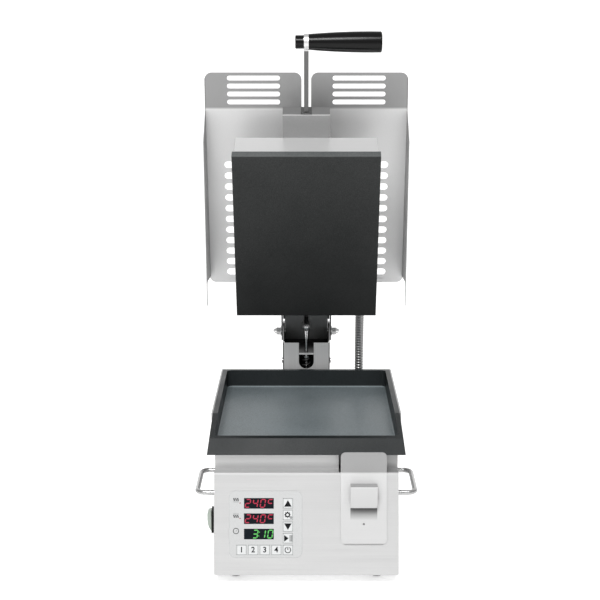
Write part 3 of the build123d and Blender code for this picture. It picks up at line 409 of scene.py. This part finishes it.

# Pan: painted light that makes its floor paler, and painted light on its rear wall
pan_low, pan_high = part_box("lower_pan")
pan_half = 152 * MM
pan_front_wall = 9 * MM
pan_rear_wall = 8 * MM
pan_rear_corner = 20 * MM
pan_floor_rise = 19.1 * MM
pan_floor = patch(
    (-pan_half, pan_low.y + pan_front_wall, pan_low.z),
    (pan_half, pan_high.y - pan_rear_wall, pan_low.z + pan_floor_rise),
    gain=10.5,
)
pan_rear = fade("Y", pan_high.y - pan_rear_corner, pan_high.y - pan_rear_wall, before=1.0, after=2.0)

# Upper plate: painted shade at its lower end and painted light at its upper end, with a painted highlight
# along its upper edge
plate_low = 360 * MM
plate_high = 660 * MM
plate_edge = 664.6 * MM
plate_line = 0.2 * MM
plate_painted_light = fade("Z", plate_low, plate_high, before=0.7, after=1.3)
plate_rim_highlight = fade("Z", plate_edge - plate_line, plate_edge, before=1.0, after=4.5)

# Splash guard: painted shade above its bend and along its side flanges
guard_low, guard_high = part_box("splash_guard")
guard_bend = 737 * MM
guard_wing = 184.6 * MM
guard_top_painted_shade = fade("Z", guard_bend - FOLD, guard_bend + FOLD, before=1.0, after=0.44)
guard_wings_painted_shade = [
    patch(
        (side * (guard_wing + FOLD) - FOLD, guard_low.y, guard_low.z),
        (side * (guard_wing + FOLD) + FOLD, guard_high.y, guard_high.z),
        gain=0.5,
    )
    for side in (-1, 1)
]

# Front sheet: a painted highlight along its upper edge, and painted shade on the ledge and riser above it and
# on those beside the tray
deck_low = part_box("top_deck")[0]
ledge_front = deck_low.y - 23 * MM
riser_back = deck_low.y + 3 * MM
riser_top = PANEL_TOP + 30 * MM
panel_edge_highlight = fade("Z", PANEL_TOP - 2 * FOLD, PANEL_TOP - FOLD, before=1.0, after=1.1)
above_panel_painted_shade = fade("Z", PANEL_TOP - SKIN, PANEL_TOP + FOLD, before=1.0, after=0.72)
ledge = patch(
    (-BODY_HALF, ledge_front, PANEL_TOP - SKIN),
    (BODY_HALF, deck_low.y + SKIN, PANEL_TOP + SKIN),
    gain=0.85,
)
beside_tray_painted_shade = patch(
    (TRAY_X + TRAY_HALF, ledge_front, PANEL_TOP - SKIN),
    (BODY_HALF + FOLD, riser_back, riser_top),
    gain=0.68,
)

# Tray front: painted shade along its lower edge and on its upper flange, painted light higher up its face,
# painted shade on the tab's top and front, and a painted shadow under the tab
tray_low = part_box("tray_front")[0]
tray_edge_start = 0.4 * MM
tray_edge_end = 1.6 * MM
tray_painted_light_start = 120 * MM
tray_painted_light_end = 165 * MM
tray_rear = panel_low.y + 60 * MM
tab_half = 21.8 * MM
tab_top = 159.3 * MM
tab_reach = 17 * MM
tab_lip = 3 * MM
shade_low = 102 * MM
shade_high = 121 * MM
tab_y = panel_low.y + (tab_top - panel_low.z) * sin(PANEL_TILT) / cos(PANEL_TILT) - TRAY_SHEET
tray_painted_shade_and_light = [
    fade("Z", tray_low.z + tray_edge_start, tray_low.z + tray_edge_end, before=0.35, after=1.0),
    fade("Z", tray_painted_light_start, tray_painted_light_end, before=1.0, after=1.12),
    fade("Z", PANEL_TOP - SKIN, PANEL_TOP + FOLD, before=1.0, after=0.47),
]
tab_painted_shadow = patch(
    (TRAY_X - tab_half, panel_low.y, shade_low),
    (TRAY_X + tab_half, tray_rear, shade_high),
    gain=1.0, top_gain=0.10,
)
tab_root_painted_shade = patch(
    (TRAY_X - tab_half, tab_y - tab_reach, tab_top - SKIN),
    (TRAY_X + tab_half, tab_y, tab_top + TRAY_SHEET),
    gain=0.42,
)
tab_front_painted_shade = patch(
    (TRAY_X - tab_half, tab_y - tab_reach - tab_lip, shade_high),
    (TRAY_X + tab_half, tab_y - tab_reach + tab_lip, tab_top - SKIN),
    gain=0.82,
)

# Arm and handle bar: the arm darker at its foot, a painted highlight along its bend, and the bar lighter at
# its eye
arm_low, arm_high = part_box("arm")
arm_foot = 345 * MM
arm_foot_half = 10 * MM
arm_bend_low = 731.4 * MM
arm_bend_high = 732.9 * MM
arm_sheet = 4 * MM
eye_low = 844 * MM
arm_foot_fade = fade("Z", arm_foot - arm_foot_half, arm_foot + arm_foot_half, before=0.85, after=1.0)
arm_bend_highlight = patch(
    (arm_low.x, arm_low.y - SKIN, arm_bend_low),
    (arm_high.x, arm_low.y + arm_sheet, arm_bend_high),
    gain=2.3,
)
bar_eye = fade("Z", eye_low - SKIN, eye_low + SKIN, before=1.0, after=5.8)

# Steels: copies of one sheet steel at different tones; steel_arm and steel_strip are darker copies that carry
# painted shade
steel_panel = brushed("steel_panel", tone=0.58, grain="x", roughness=0.42, contrast=0.03, metallic=0.6,
                      fades=[panel_edge_highlight, above_panel_painted_shade], patches=[ledge, beside_tray_painted_shade])
steel_side = brushed("steel_side", tone=0.55, grain="y", roughness=0.40, contrast=0.04, metallic=0.8)
steel_guard = brushed("steel_guard", tone=0.62, grain="z", roughness=0.45, contrast=0.03, metallic=0.5,
                      fades=[guard_top_painted_shade], patches=guard_wings_painted_shade)
steel_post = brushed("steel_post", tone=0.72, grain="z", roughness=0.40, contrast=0.05, metallic=0.6,
                     patches=post_painted_shade)
steel_arm = brushed("steel_arm", tone=0.27, grain="z", roughness=0.36, contrast=0.06, metallic=0.8,
                    fades=[arm_foot_fade], patches=[arm_bend_highlight])
steel_bar = brushed("steel_bar", tone=0.11, grain="z", roughness=0.34, contrast=0.05, metallic=0.8,
                    fades=[bar_eye])
steel_bright = brushed("steel_bright", tone=0.76, grain="x", roughness=0.36, contrast=0.03, metallic=0.7)
steel_strip = brushed("steel_strip", tone=0.34, grain="y", roughness=0.36, contrast=0.05, metallic=0.7)
steel_loop = brushed("steel_loop", tone=0.40, grain="y", roughness=0.26, contrast=0.04, metallic=0.9)
steel_tray = brushed("steel_tray", tone=0.55, grain="x", roughness=0.44, contrast=0.02, metallic=0.35,
                     fades=tray_painted_shade_and_light, patches=[tab_painted_shadow, tab_root_painted_shade, tab_front_painted_shade])
steel_rod = brushed("steel_rod", tone=0.70, grain="x", roughness=0.14, contrast=0.04)
steel_hose = brushed("steel_hose", tone=0.28, grain="x", roughness=0.30, contrast=0.06)
steel_coil = brushed("steel_coil", tone=0.06, grain="x", roughness=0.40, contrast=0.06, metallic=0.6)

# Enamels, plastics, inks and lit segments
black_pan = enamel("black_pan", dark=(0.007, 0.0085, 0.009), light=(0.016, 0.0185, 0.0195), roughness=0.36,
                   grit=900.0, strength=0.18, gloss=0.12, fades=[pan_rear], patches=[pan_floor])
black_plate = enamel("black_plate", dark=(0.007, 0.008, 0.008), light=(0.020, 0.021, 0.021), roughness=0.50,
                     grit=800.0, strength=0.40, gloss=0.22, fades=[plate_painted_light, plate_rim_highlight])
black_grip = plastic("black_grip", (0.003, 0.003, 0.003), roughness=0.22, gloss=0.18)
black_box = plastic("black_box", (0.010, 0.011, 0.010), roughness=0.4, gloss=0.2)
rubber = plastic("rubber", (0.02, 0.02, 0.02), roughness=0.7)
film = plastic("film", (0.455, 0.46, 0.46), roughness=0.42, grit=1800.0, strength=0.03)
film_line = plastic("film_line", (0.42, 0.43, 0.43), roughness=0.5)
key_face = plastic("key_face", (0.56, 0.57, 0.57), roughness=0.4, grit=1800.0, strength=0.03)
key_line = plastic("key_line", (0.26, 0.27, 0.27), roughness=0.5)
ink = plastic("ink", (0.008, 0.009, 0.010), roughness=0.5, gloss=0.1)
ink_grey = plastic("ink_grey", (0.06, 0.063, 0.063), roughness=0.5)
ink_pale = plastic("ink_pale", (0.26, 0.27, 0.27), roughness=0.5)
window = plastic("window", (0.006, 0.009, 0.012), roughness=0.3, gloss=0.08)
red_dot = plastic("red_dot", (0.22, 0.03, 0.04), roughness=0.4)
rivet = plastic("rivet", (0.13, 0.13, 0.13), roughness=0.4)
heater = plastic("heater", (0.11, 0.105, 0.1), roughness=0.6, grit=400.0, strength=0.2)
wool = plastic("wool", (0.75, 0.73, 0.66), roughness=0.9, grit=300.0, strength=0.6)
board = plastic("board", (0.02, 0.2, 0.08), roughness=0.45)
boot = plastic("boot", (0.33, 0.37, 0.33), roughness=0.35)
green_rocker = plastic("green_rocker", (0.06, 0.32, 0.16), roughness=0.35)
glow_red = glow("glow_red", (0.50, 0.02, 0.06), power=0.70)
glow_green = glow("glow_green", (0.12, 0.58, 0.12), power=0.75)

finishes = {
    steel_panel: ["front_panel", "top_deck"],
    steel_side: ["side_panel_left", "side_panel_right", "rear_panel", "bottom_plate", "tray_box",
                 "tray_guide", "reflector", "drain_spout", "spring_cup"],
    steel_guard: ["splash_guard", "guard_bracket"],
    steel_post: ["hinge_post", "post_cover", "rod_guide"],
    steel_arm: ["arm", "arm_cover"],
    steel_bar: ["handle_bar"],
    steel_bright: ["lid_casing"],
    steel_strip: ["pan_strips"],
    steel_loop: ["carry_loop_left", "carry_loop_right"],
    steel_tray: ["tray_front"],
    steel_rod: ["hinge_pin", "hinge_nuts", "lug_pin", "guard_pin", "post_screws", "lift_rod", "grip_bolt",
                "conduit_collar_low", "conduit_collar_high"],
    black_pan: ["lower_pan"],
    black_plate: ["upper_plate"],
    black_grip: ["grip", "grip_cap"],
    black_box: ["mains_gland", "switch_box"],
    rubber: ["feet"],
    film: ["keypad_film"],
    key_face: [name for name in nodes if name.startswith("key_")],
    window: ["display_upper", "display_lower", "display_timer"],
    heater: ["lower_element", "upper_element"],
    wool: ["insulation"],
    board: ["circuit_board"],
    green_rocker: ["switch_rocker"],
}
for finish, names in finishes.items():
    for name in names:
        nodes[name].data.materials.clear()
        nodes[name].data.materials.append(finish)


def printed(name, shapes, material, body, face):
    """Ink on a face of the panel."""
    mesh = prisms(shapes, panel_point, face - PRINT_THICKNESS / 2, face + PRINT_THICKNESS)
    new_piece(name, mesh, material, body)


# Keypad: an outline round each key
key_spots = {
    "power": (KEY_X, KEY_LOW),
    "4": (KEY_X - KEY_PITCH, KEY_LOW),
    "3": (KEY_X - 2 * KEY_PITCH, KEY_LOW),
    "2": (KEY_X - 3 * KEY_PITCH, KEY_LOW),
    "1": (KEY_X - 4 * KEY_PITCH, KEY_LOW),
    "start": (KEY_X, KEY_LOW + KEY_PITCH),
    "down": (KEY_X, KEY_LOW + 2 * KEY_PITCH),
    "set": (KEY_X, KEY_LOW + 3 * KEY_PITCH),
    "up": (KEY_X, KEY_LOW + 4 * KEY_PITCH),
}
line_width = 0.45 * MM
outer_size = KEY_SIZE - line_width
inner_size = outer_size - 2 * line_width
outer_corner = 1.4 * MM
inner_corner = 1.0 * MM
for label, (x, rise) in key_spots.items():
    outline = [
        rounded(x, rise, outer_size, outer_size, outer_corner),
        rounded(x, rise, inner_size, inner_size, inner_corner),
    ]
    printed(f"key_edge_{label}", [outline], key_line, f"button_{label}", KEY_FACE)

# Keypad: arrows, gears, a triangle with two bars, and the power sign
arrow_half = 6.1 * MM
arrow_rise = 5.3 * MM
start_tip = 1.3 * MM
pause_places = (3.6 * MM, 6.3 * MM)
pause_width = 1.4 * MM
pause_corner = 0.2 * MM
gears = [(-0.6 * MM, 0.4 * MM, 5.1 * MM, 8), (5.0 * MM, -4.0 * MM, 2.1 * MM, 6)]
gear_root = 0.78
gear_hole = 0.42
power_radius = 4.6 * MM
power_bar = 4.8 * MM
power_line = 1.3 * MM
power_corner = 0.3 * MM
power_start = 118
power_end = 422


def gear(cx, cy, radius, teeth):
    """A toothed outline with its round hole."""
    outer = []
    count = teeth * 4
    for i in range(count):
        reach = radius if i % 4 in (0, 1) else radius * gear_root
        turn = 2 * pi * (i - 0.5) / count
        outer.append((cx + reach * cos(turn), cy + reach * sin(turn)))
    return [outer, circle(cx, cy, radius * gear_hole, count)]


def symbol(name, key, shapes, material=ink):
    """A symbol on its key, from shapes about the key's centre."""
    x, rise = key_spots[key]
    moved = [[[(x + px, rise + py) for px, py in loop] for loop in loops] for loops in shapes]
    printed(f"print_{name}", moved, material, f"button_{key}", KEY_FACE)


symbol("up", "up", [[[(-arrow_half, -arrow_rise), (arrow_half, -arrow_rise), (0, arrow_rise)]]])
symbol("down", "down", [[[(-arrow_half, arrow_rise), (0, -arrow_rise), (arrow_half, arrow_rise)]]])
symbol("set", "set", [gear(*values) for values in gears])
symbol("start", "start", [[[(-arrow_half, -arrow_rise), (start_tip, 0), (-arrow_half, arrow_rise)]]])
symbol("pause", "start", [[rounded(px, 0, pause_width, 2 * arrow_rise, pause_corner)] for px in pause_places],
       ink_grey)
symbol("power", "power", [[arc_band(0, 0, power_radius, power_line, power_start, power_end)],
                          [rounded(0, power_bar / 2, power_line, power_bar, power_corner)]])

# Keypad: the figures, made as text and laid on their keys
figure_size = 12.5 * MM
figure_weight = 0.25 * MM
for label in "1234":
    curve = bpy.data.curves.new(f"figure_{label}", "FONT")
    curve.body = label
    curve.size = figure_size
    curve.offset = figure_weight
    curve.align_x = "CENTER"
    curve.align_y = "CENTER"
    curve.extrude = PRINT_THICKNESS
    source = bpy.data.objects.new(f"figure_{label}", curve)
    bpy.context.scene.collection.objects.link(source)
    bpy.context.view_layer.update()
    mesh = bpy.data.meshes.new_from_object(source)
    bpy.data.objects.remove(source)
    x, rise = key_spots[label]
    for vertex in mesh.vertices:
        vertex.co = panel_point(x + vertex.co.x, rise + vertex.co.y, KEY_FACE + vertex.co.z)
    new_piece(f"print_{label}", mesh, ink, f"button_{label}")

# Film: its pressed edge
edge_inset = 0.3 * MM
edge_width = 0.4 * MM
edge_corner = 9.7 * MM
edge_steps = 10
edge_loops = [
    rounded(FILM_X, FILM_RISE, FILM_WIDTH - 2 * inset, FILM_HEIGHT - 2 * inset, radius, edge_steps)
    for inset, radius in ((edge_inset, edge_corner), (edge_inset + edge_width, edge_corner - edge_width))
]
printed("film_edge", [edge_loops], film_line, "base", FILM_FACE)

# Film: the heat symbols beside the two upper windows
icon_x = -114.2 * MM
wave_step = 3.1 * MM
wave_height = 4.6 * MM
wave_sway = 0.45 * MM
wave_half = 0.9 * MM
wave_steps = 8
lines_drop = 4.5 * MM
lines_gap = 1.3 * MM
lines_width = 8.8 * MM
lines_height = 0.5 * MM
lines_corner = 0.2 * MM
upper_row = WINDOW_LOW + 2 * WINDOW_PITCH
lower_row = WINDOW_LOW + WINDOW_PITCH
upper_heat = upper_row + 6.3 * MM
lower_heat = lower_row + 3.9 * MM


def wave(cx, cy):
    """The outline of one short rising curl of heat."""
    left = []
    right = []
    for i in range(wave_steps + 1):
        lift = cy + wave_height * (i / wave_steps - 0.5)
        sway = wave_sway * sin(2 * pi * i / wave_steps)
        left.append((cx + sway - wave_half, lift))
        right.append((cx + sway + wave_half, lift))
    return right + left[::-1]


def heat_symbol(name, rise, side):
    """Three curls of heat on one side of two thin plate lines."""
    curls = [[wave(icon_x + i * wave_step, rise)] for i in (-1, 0, 1)]
    lines = [
        [rounded(icon_x, rise - side * (lines_drop - lift), lines_width, lines_height, lines_corner)]
        for lift in (0, lines_gap)
    ]
    printed(f"{name}_curls", curls, ink, "base", FILM_FACE)
    printed(f"{name}_plate", lines, ink_pale, "base", FILM_FACE)


heat_symbol("print_upper_heat", upper_heat, 1)
heat_symbol("print_lower_heat", lower_heat, -1)

# Film: a dot by each of these windows, and the clock beside the lowest one
dot_x = -107.6 * MM
dot_lift = 0.5 * MM
dot_radius = 1.0 * MM
dot_steps = 16
dots = [[circle(dot_x, row + dot_lift, dot_radius, dot_steps)] for row in (upper_row, lower_row)]
printed("heat_dots", dots, red_dot, "base", FILM_FACE)
clock_rise = WINDOW_LOW + 4.9 * MM
clock_rim = [circle(icon_x, clock_rise, radius * MM) for radius in (5.0, 3.8)]
clock_hand = [(icon_x + px * MM, clock_rise + py * MM) for px, py in ((-0.4, -0.4), (0.4, -0.6), (2.0, 2.2))]
printed("print_clock", [clock_rim, [clock_hand]], ink_grey, "base", FILM_FACE)

# Display digits: slanting seven-segment figures
SEGMENTS = {
    "0": "abcdef", "1": "bc", "2": "abged", "3": "abgcd", "4": "fgbc", "c": "afg",
}
digit_height = 12.6 * MM
digit_width = 7.2 * MM
digit_pitch = 12.1 * MM
digit_inset = 5.7 * MM
segment_gap = 0.35 * MM
stroke = 1.8 * MM
slant = 0.16
colon_lift = 3 * MM
colon_radius = 0.8 * MM
colon_steps = 12


def segment(cx, cy, length, upright):
    """One six-sided segment."""
    h = length / 2 - segment_gap
    w = stroke / 2
    shape = [(-h, 0), (-h + w, w), (h - w, w), (h, 0), (h - w, -w), (-h + w, -w)]
    if upright:
        shape = [(y, x) for x, y in shape]
    return [(cx + px + slant * (cy + py), cy + py) for px, py in shape]


def figure(label):
    """The segments of a figure about its own centre."""
    w = digit_width / 2
    h = digit_height / 2
    places = {
        "a": (0, h, digit_width, False), "g": (0, 0, digit_width, False), "d": (0, -h, digit_width, False),
        "f": (-w, h / 2, h, True), "b": (w, h / 2, h, True),
        "e": (-w, -h / 2, h, True), "c": (w, -h / 2, h, True),
    }
    return [segment(*places[part]) for part in SEGMENTS[label]]


def readout(name, text, row, material, colon_after=None):
    """Figures of one window, set from its right-hand end."""
    shapes = []
    rise = WINDOW_LOW + row * WINDOW_PITCH
    for place, label in enumerate(reversed(text)):
        x = WINDOW_X + WINDOW_WIDTH / 2 - digit_inset - place * digit_pitch
        for outline in figure(label):
            shapes.append([[(x + px, rise + py) for px, py in outline]])
        if place == colon_after:
            for lift in (-colon_lift, colon_lift):
                middle = x - digit_pitch / 2 + slant * lift
                shapes.append([circle(middle, rise + lift, colon_radius, colon_steps)])
    printed(name, shapes, material, "base", FILM_FACE)


readout("digits_upper", "240c", 2, glow_red)
readout("digits_lower", "240c", 1, glow_red)
readout("digits_timer", "310", 0, glow_green, colon_after=1)

# Switch: a ridged collar on the bezel, and a translucent boot that bulges over the rocker
switch_low, switch_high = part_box("switch_box")
switch_y = (switch_low.y + switch_high.y) / 2
switch_z = (switch_low.z + switch_high.z) / 2
side_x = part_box("side_panel_left")[0].x


def switch_ring(out, half_width, bottom, top, radius):
    """A rounded outline at one distance out from the side panel, from sizes in mm."""
    height = (top - bottom) * MM
    outline = rounded(0, (bottom + top) * MM / 2, 2 * half_width * MM, height, radius * MM)
    return [Vector((side_x - out * MM, switch_y + px, switch_z + pz)) for px, pz in outline]


collar_levels = [
    (3.0, 13.5), (3.6, 13.0), (4.2, 13.0), (4.7, 13.9), (6.1, 13.9), (6.5, 12.6), (6.5, 11.8), (3.0, 11.8),
]
collar_taller = 6
collar_corner = 3
collar = [
    switch_ring(out, half, -(half + collar_taller), half + collar_taller, collar_corner)
    for out, half in collar_levels
]
new_piece("switch_collar", lofted(collar, closed=True), black_box, "base")
boot_wall = 0.8
boot_levels = [
    (4.2, 11.7, -17.7, 17.7, 3.0), (6.9, 11.6, -16.5, 17.6, 3.4), (8.6, 11.4, -14.4, 17.4, 3.8),
    (11.1, 10.9, -10.2, 16.8, 4.2), (12.5, 10.2, -5.0, 15.6, 4.4), (13.2, 8.6, 0.0, 12.8, 4.0),
]
boot_outside = [switch_ring(*level) for level in boot_levels]
boot_inside = [
    switch_ring(out - boot_wall * (out > boot_levels[0][0]), half - boot_wall, low + boot_wall,
                high - boot_wall, radius - boot_wall)
    for out, half, low, high, radius in boot_levels
]
switch_boot_piece = add_piece("switch_boot", lofted(boot_inside[::-1] + boot_outside), boot)
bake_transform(switch_boot_piece)

# Tray: the small rivet under its tab
rivet_rise = 83 * MM
rivet_turns = 20
rivet_levels = [(0.0, 1.7), (0.35, 1.5), (0.6, 1.0), (0.7, 0.4)]
rivet_rings = [
    [panel_point(px, py, TRAY_SHEET + out * MM)
     for px, py in circle(TRAY_X, rivet_rise, radius * MM, rivet_turns)]
    for out, radius in rivet_levels
]
new_piece("tray_rivet", lofted(rivet_rings), rivet, "tray")

# Conduit: a spiral-wound steel hose from the deck to the back of the lid
conduit_low, conduit_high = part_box("conduit")
hose_foot_low, hose_foot_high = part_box("conduit_collar_low")
hose_turn = radians(90) - LID_ANGLE
hose_rib = (conduit_high.x - conduit_low.x) / 2
hose_root = 0.87
hose_groove = 1.1 * MM
groove_sharpness = 3
hose_ribs = 27
rib_rings = 10
hose_x = (conduit_low.x + conduit_high.x) / 2
hose_start = Vector((hose_x, (hose_foot_low.y + hose_foot_high.y) / 2, conduit_low.z))
hose_end_z = conduit_high.z - hose_rib * hose_root * sin(hose_turn)
hose_radius = (hose_end_z - hose_start.z) / sin(hose_turn)
hose_points = []
hose_radii = []
for ring in range(hose_ribs * rib_rings + 1):
    turn = hose_turn * ring / (hose_ribs * rib_rings)
    hose_points.append(Vector((
        hose_x,
        hose_start.y - hose_radius * (1 - cos(turn)),
        hose_start.z + hose_radius * sin(turn),
    )))
    hose_radii.append(hose_rib - hose_groove * abs(cos(pi * ring / rib_rings)) ** groove_sharpness)
hose = add_piece("steel_hose", tube(hose_points, hose_radii), steel_hose)
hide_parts("conduit")
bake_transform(hose)

# Arm: the sheet that closes its back behind the rod's eye
hinge_low, hinge_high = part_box("hinge_pin")
hinge_y = (hinge_low.y + hinge_high.y) / 2
hinge_z = (hinge_low.z + hinge_high.z) / 2


def lid_point(x, along, out):
    """A point of the opened lid: x across, along its length from the hinge, out from its arm."""
    return Vector((
        x,
        hinge_y + along * cos(LID_ANGLE) + out * sin(LID_ANGLE),
        hinge_z - along * sin(LID_ANGLE) + out * cos(LID_ANGLE),
    ))


back_half = 45.5 * MM
back_waist = 42.2 * MM
back_far = -70 * MM
back_step = -17 * MM
back_near = 8 * MM
back_inner = 15.8 * MM
back_outer = 17.2 * MM
back_outline = [
    (-back_half, back_far), (back_half, back_far), (back_half, back_step), (back_waist, back_step),
    (back_waist, back_near), (-back_waist, back_near), (-back_waist, back_step), (-back_half, back_step),
]
back_mesh = prisms([[back_outline]], lid_point, back_inner, back_outer)
new_piece("arm_back", back_mesh, steel_arm, "lid")

# Lifting spring: coils between the cup and the rod's collar
spring_low, spring_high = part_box("lift_spring")
coil_wire = 1.3 * MM
coil_radius = (spring_high.x - spring_low.x) / 2 - coil_wire
coil_turns = 13
coil_steps = 20
wire_sides = 10
coil_bottom = spring_low.z + coil_wire
coil_top = spring_high.z - coil_wire
coil_y = (spring_low.y + spring_high.y) / 2
coil_points = []
for step in range(coil_turns * coil_steps + 1):
    share = step / (coil_turns * coil_steps)
    turn = 2 * pi * step / coil_steps
    coil_points.append(Vector((
        coil_radius * cos(turn),
        coil_y + coil_radius * sin(turn),
        coil_bottom + (coil_top - coil_bottom) * share,
    )))
coil_mesh = tube(coil_points, [coil_wire] * len(coil_points), wire_sides)
coil = add_piece("lift_coils", coil_mesh, steel_coil)
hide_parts("lift_spring")
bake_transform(coil)

# Stage: a pale floor that curves up behind the object
floor_near = -4.0
floor_far = 2.2
floor_half = 5.0
floor_glow = 0.5
sweep_radius = 1.6
sweep_steps = 16
wall_top = 4.0
profile = [(floor_near, 0.0), (floor_far, 0.0)]
for step in range(1, sweep_steps + 1):
    turn = radians(90 * step / sweep_steps)
    profile.append((floor_far + sweep_radius * sin(turn), sweep_radius * (1 - cos(turn))))
profile.append((floor_far + sweep_radius, wall_top))
stage_mesh = bpy.data.meshes.new("stage")
stage_vertices = [(x, y, z) for x in (-floor_half, floor_half) for y, z in profile]
row = len(profile)
stage_faces = [(i, i + 1, row + i + 1, row + i) for i in range(row - 1)]
stage_mesh.from_pydata(stage_vertices, [], stage_faces)
for face in stage_mesh.polygons:
    face.use_smooth = True
stage = bpy.data.objects.new("stage", stage_mesh)
bpy.context.scene.collection.objects.link(stage)
pale, pale_tree, pale_main = shader("pale", (0.86, 0.86, 0.86), metallic=0.0, roughness=0.75)
pale_clouds = noise(pale_tree, scale=0.8)
pale_colour = tint(pale_tree, pale_clouds, (0.85, 0.85, 0.85), (0.88, 0.88, 0.88))
pale_tree.links.new(pale_colour, pale_main.inputs["Base Color"])
pale_main.inputs["Emission Color"].default_value = (1, 1, 1, 1)
pale_main.inputs["Emission Strength"].default_value = floor_glow
stage_mesh.materials.append(pale)


# Lights
def area(name, place, aim, size, power):
    """A rectangular lamp aimed at a point."""
    light = bpy.data.lights.new(name, "AREA")
    light.shape = "RECTANGLE"
    light.size = size[0]
    light.size_y = size[1]
    light.energy = power
    lamp = bpy.data.objects.new(name, light)
    lamp.location = place
    lamp.rotation_euler = (Vector(aim) - Vector(place)).to_track_quat("-Z", "Y").to_euler()
    bpy.context.scene.collection.objects.link(lamp)


area("key", place=(-0.5, -2.0, 2.5), aim=(0, 0, 0.35), size=(1.2, 0.9), power=58)
area("strip", place=(0.3, -1.4, 2.3), aim=(0, 0, 0.8), size=(1.6, 0.12), power=18)
daylight = 0.5
world = bpy.data.worlds.new("studio")
world.use_nodes = True
world.node_tree.nodes["Background"].inputs["Color"].default_value = (1, 1, 1, 1)
world.node_tree.nodes["Background"].inputs["Strength"].default_value = daylight
bpy.context.scene.world = world
bpy.context.scene.view_settings.view_transform = "Standard"

# Camera
lens = bpy.data.cameras.new("camera")
lens.sensor_width = SENSOR_MM
lens.lens = SENSOR_MM * FOCAL_PX / PHOTO_SIDE_PX
lens.shift_x = -(CENTRE_COLUMN_PX - PHOTO_SIDE_PX / 2) / PHOTO_SIDE_PX
camera = bpy.data.objects.new("camera", lens)
camera.location = (0, panel_low.y - CAMERA_DISTANCE, CAMERA_HEIGHT)
camera.rotation_euler = Euler((pi / 2 - CAMERA_TILT, 0, 0))
bpy.context.scene.collection.objects.link(camera)
bpy.context.scene.camera = camera
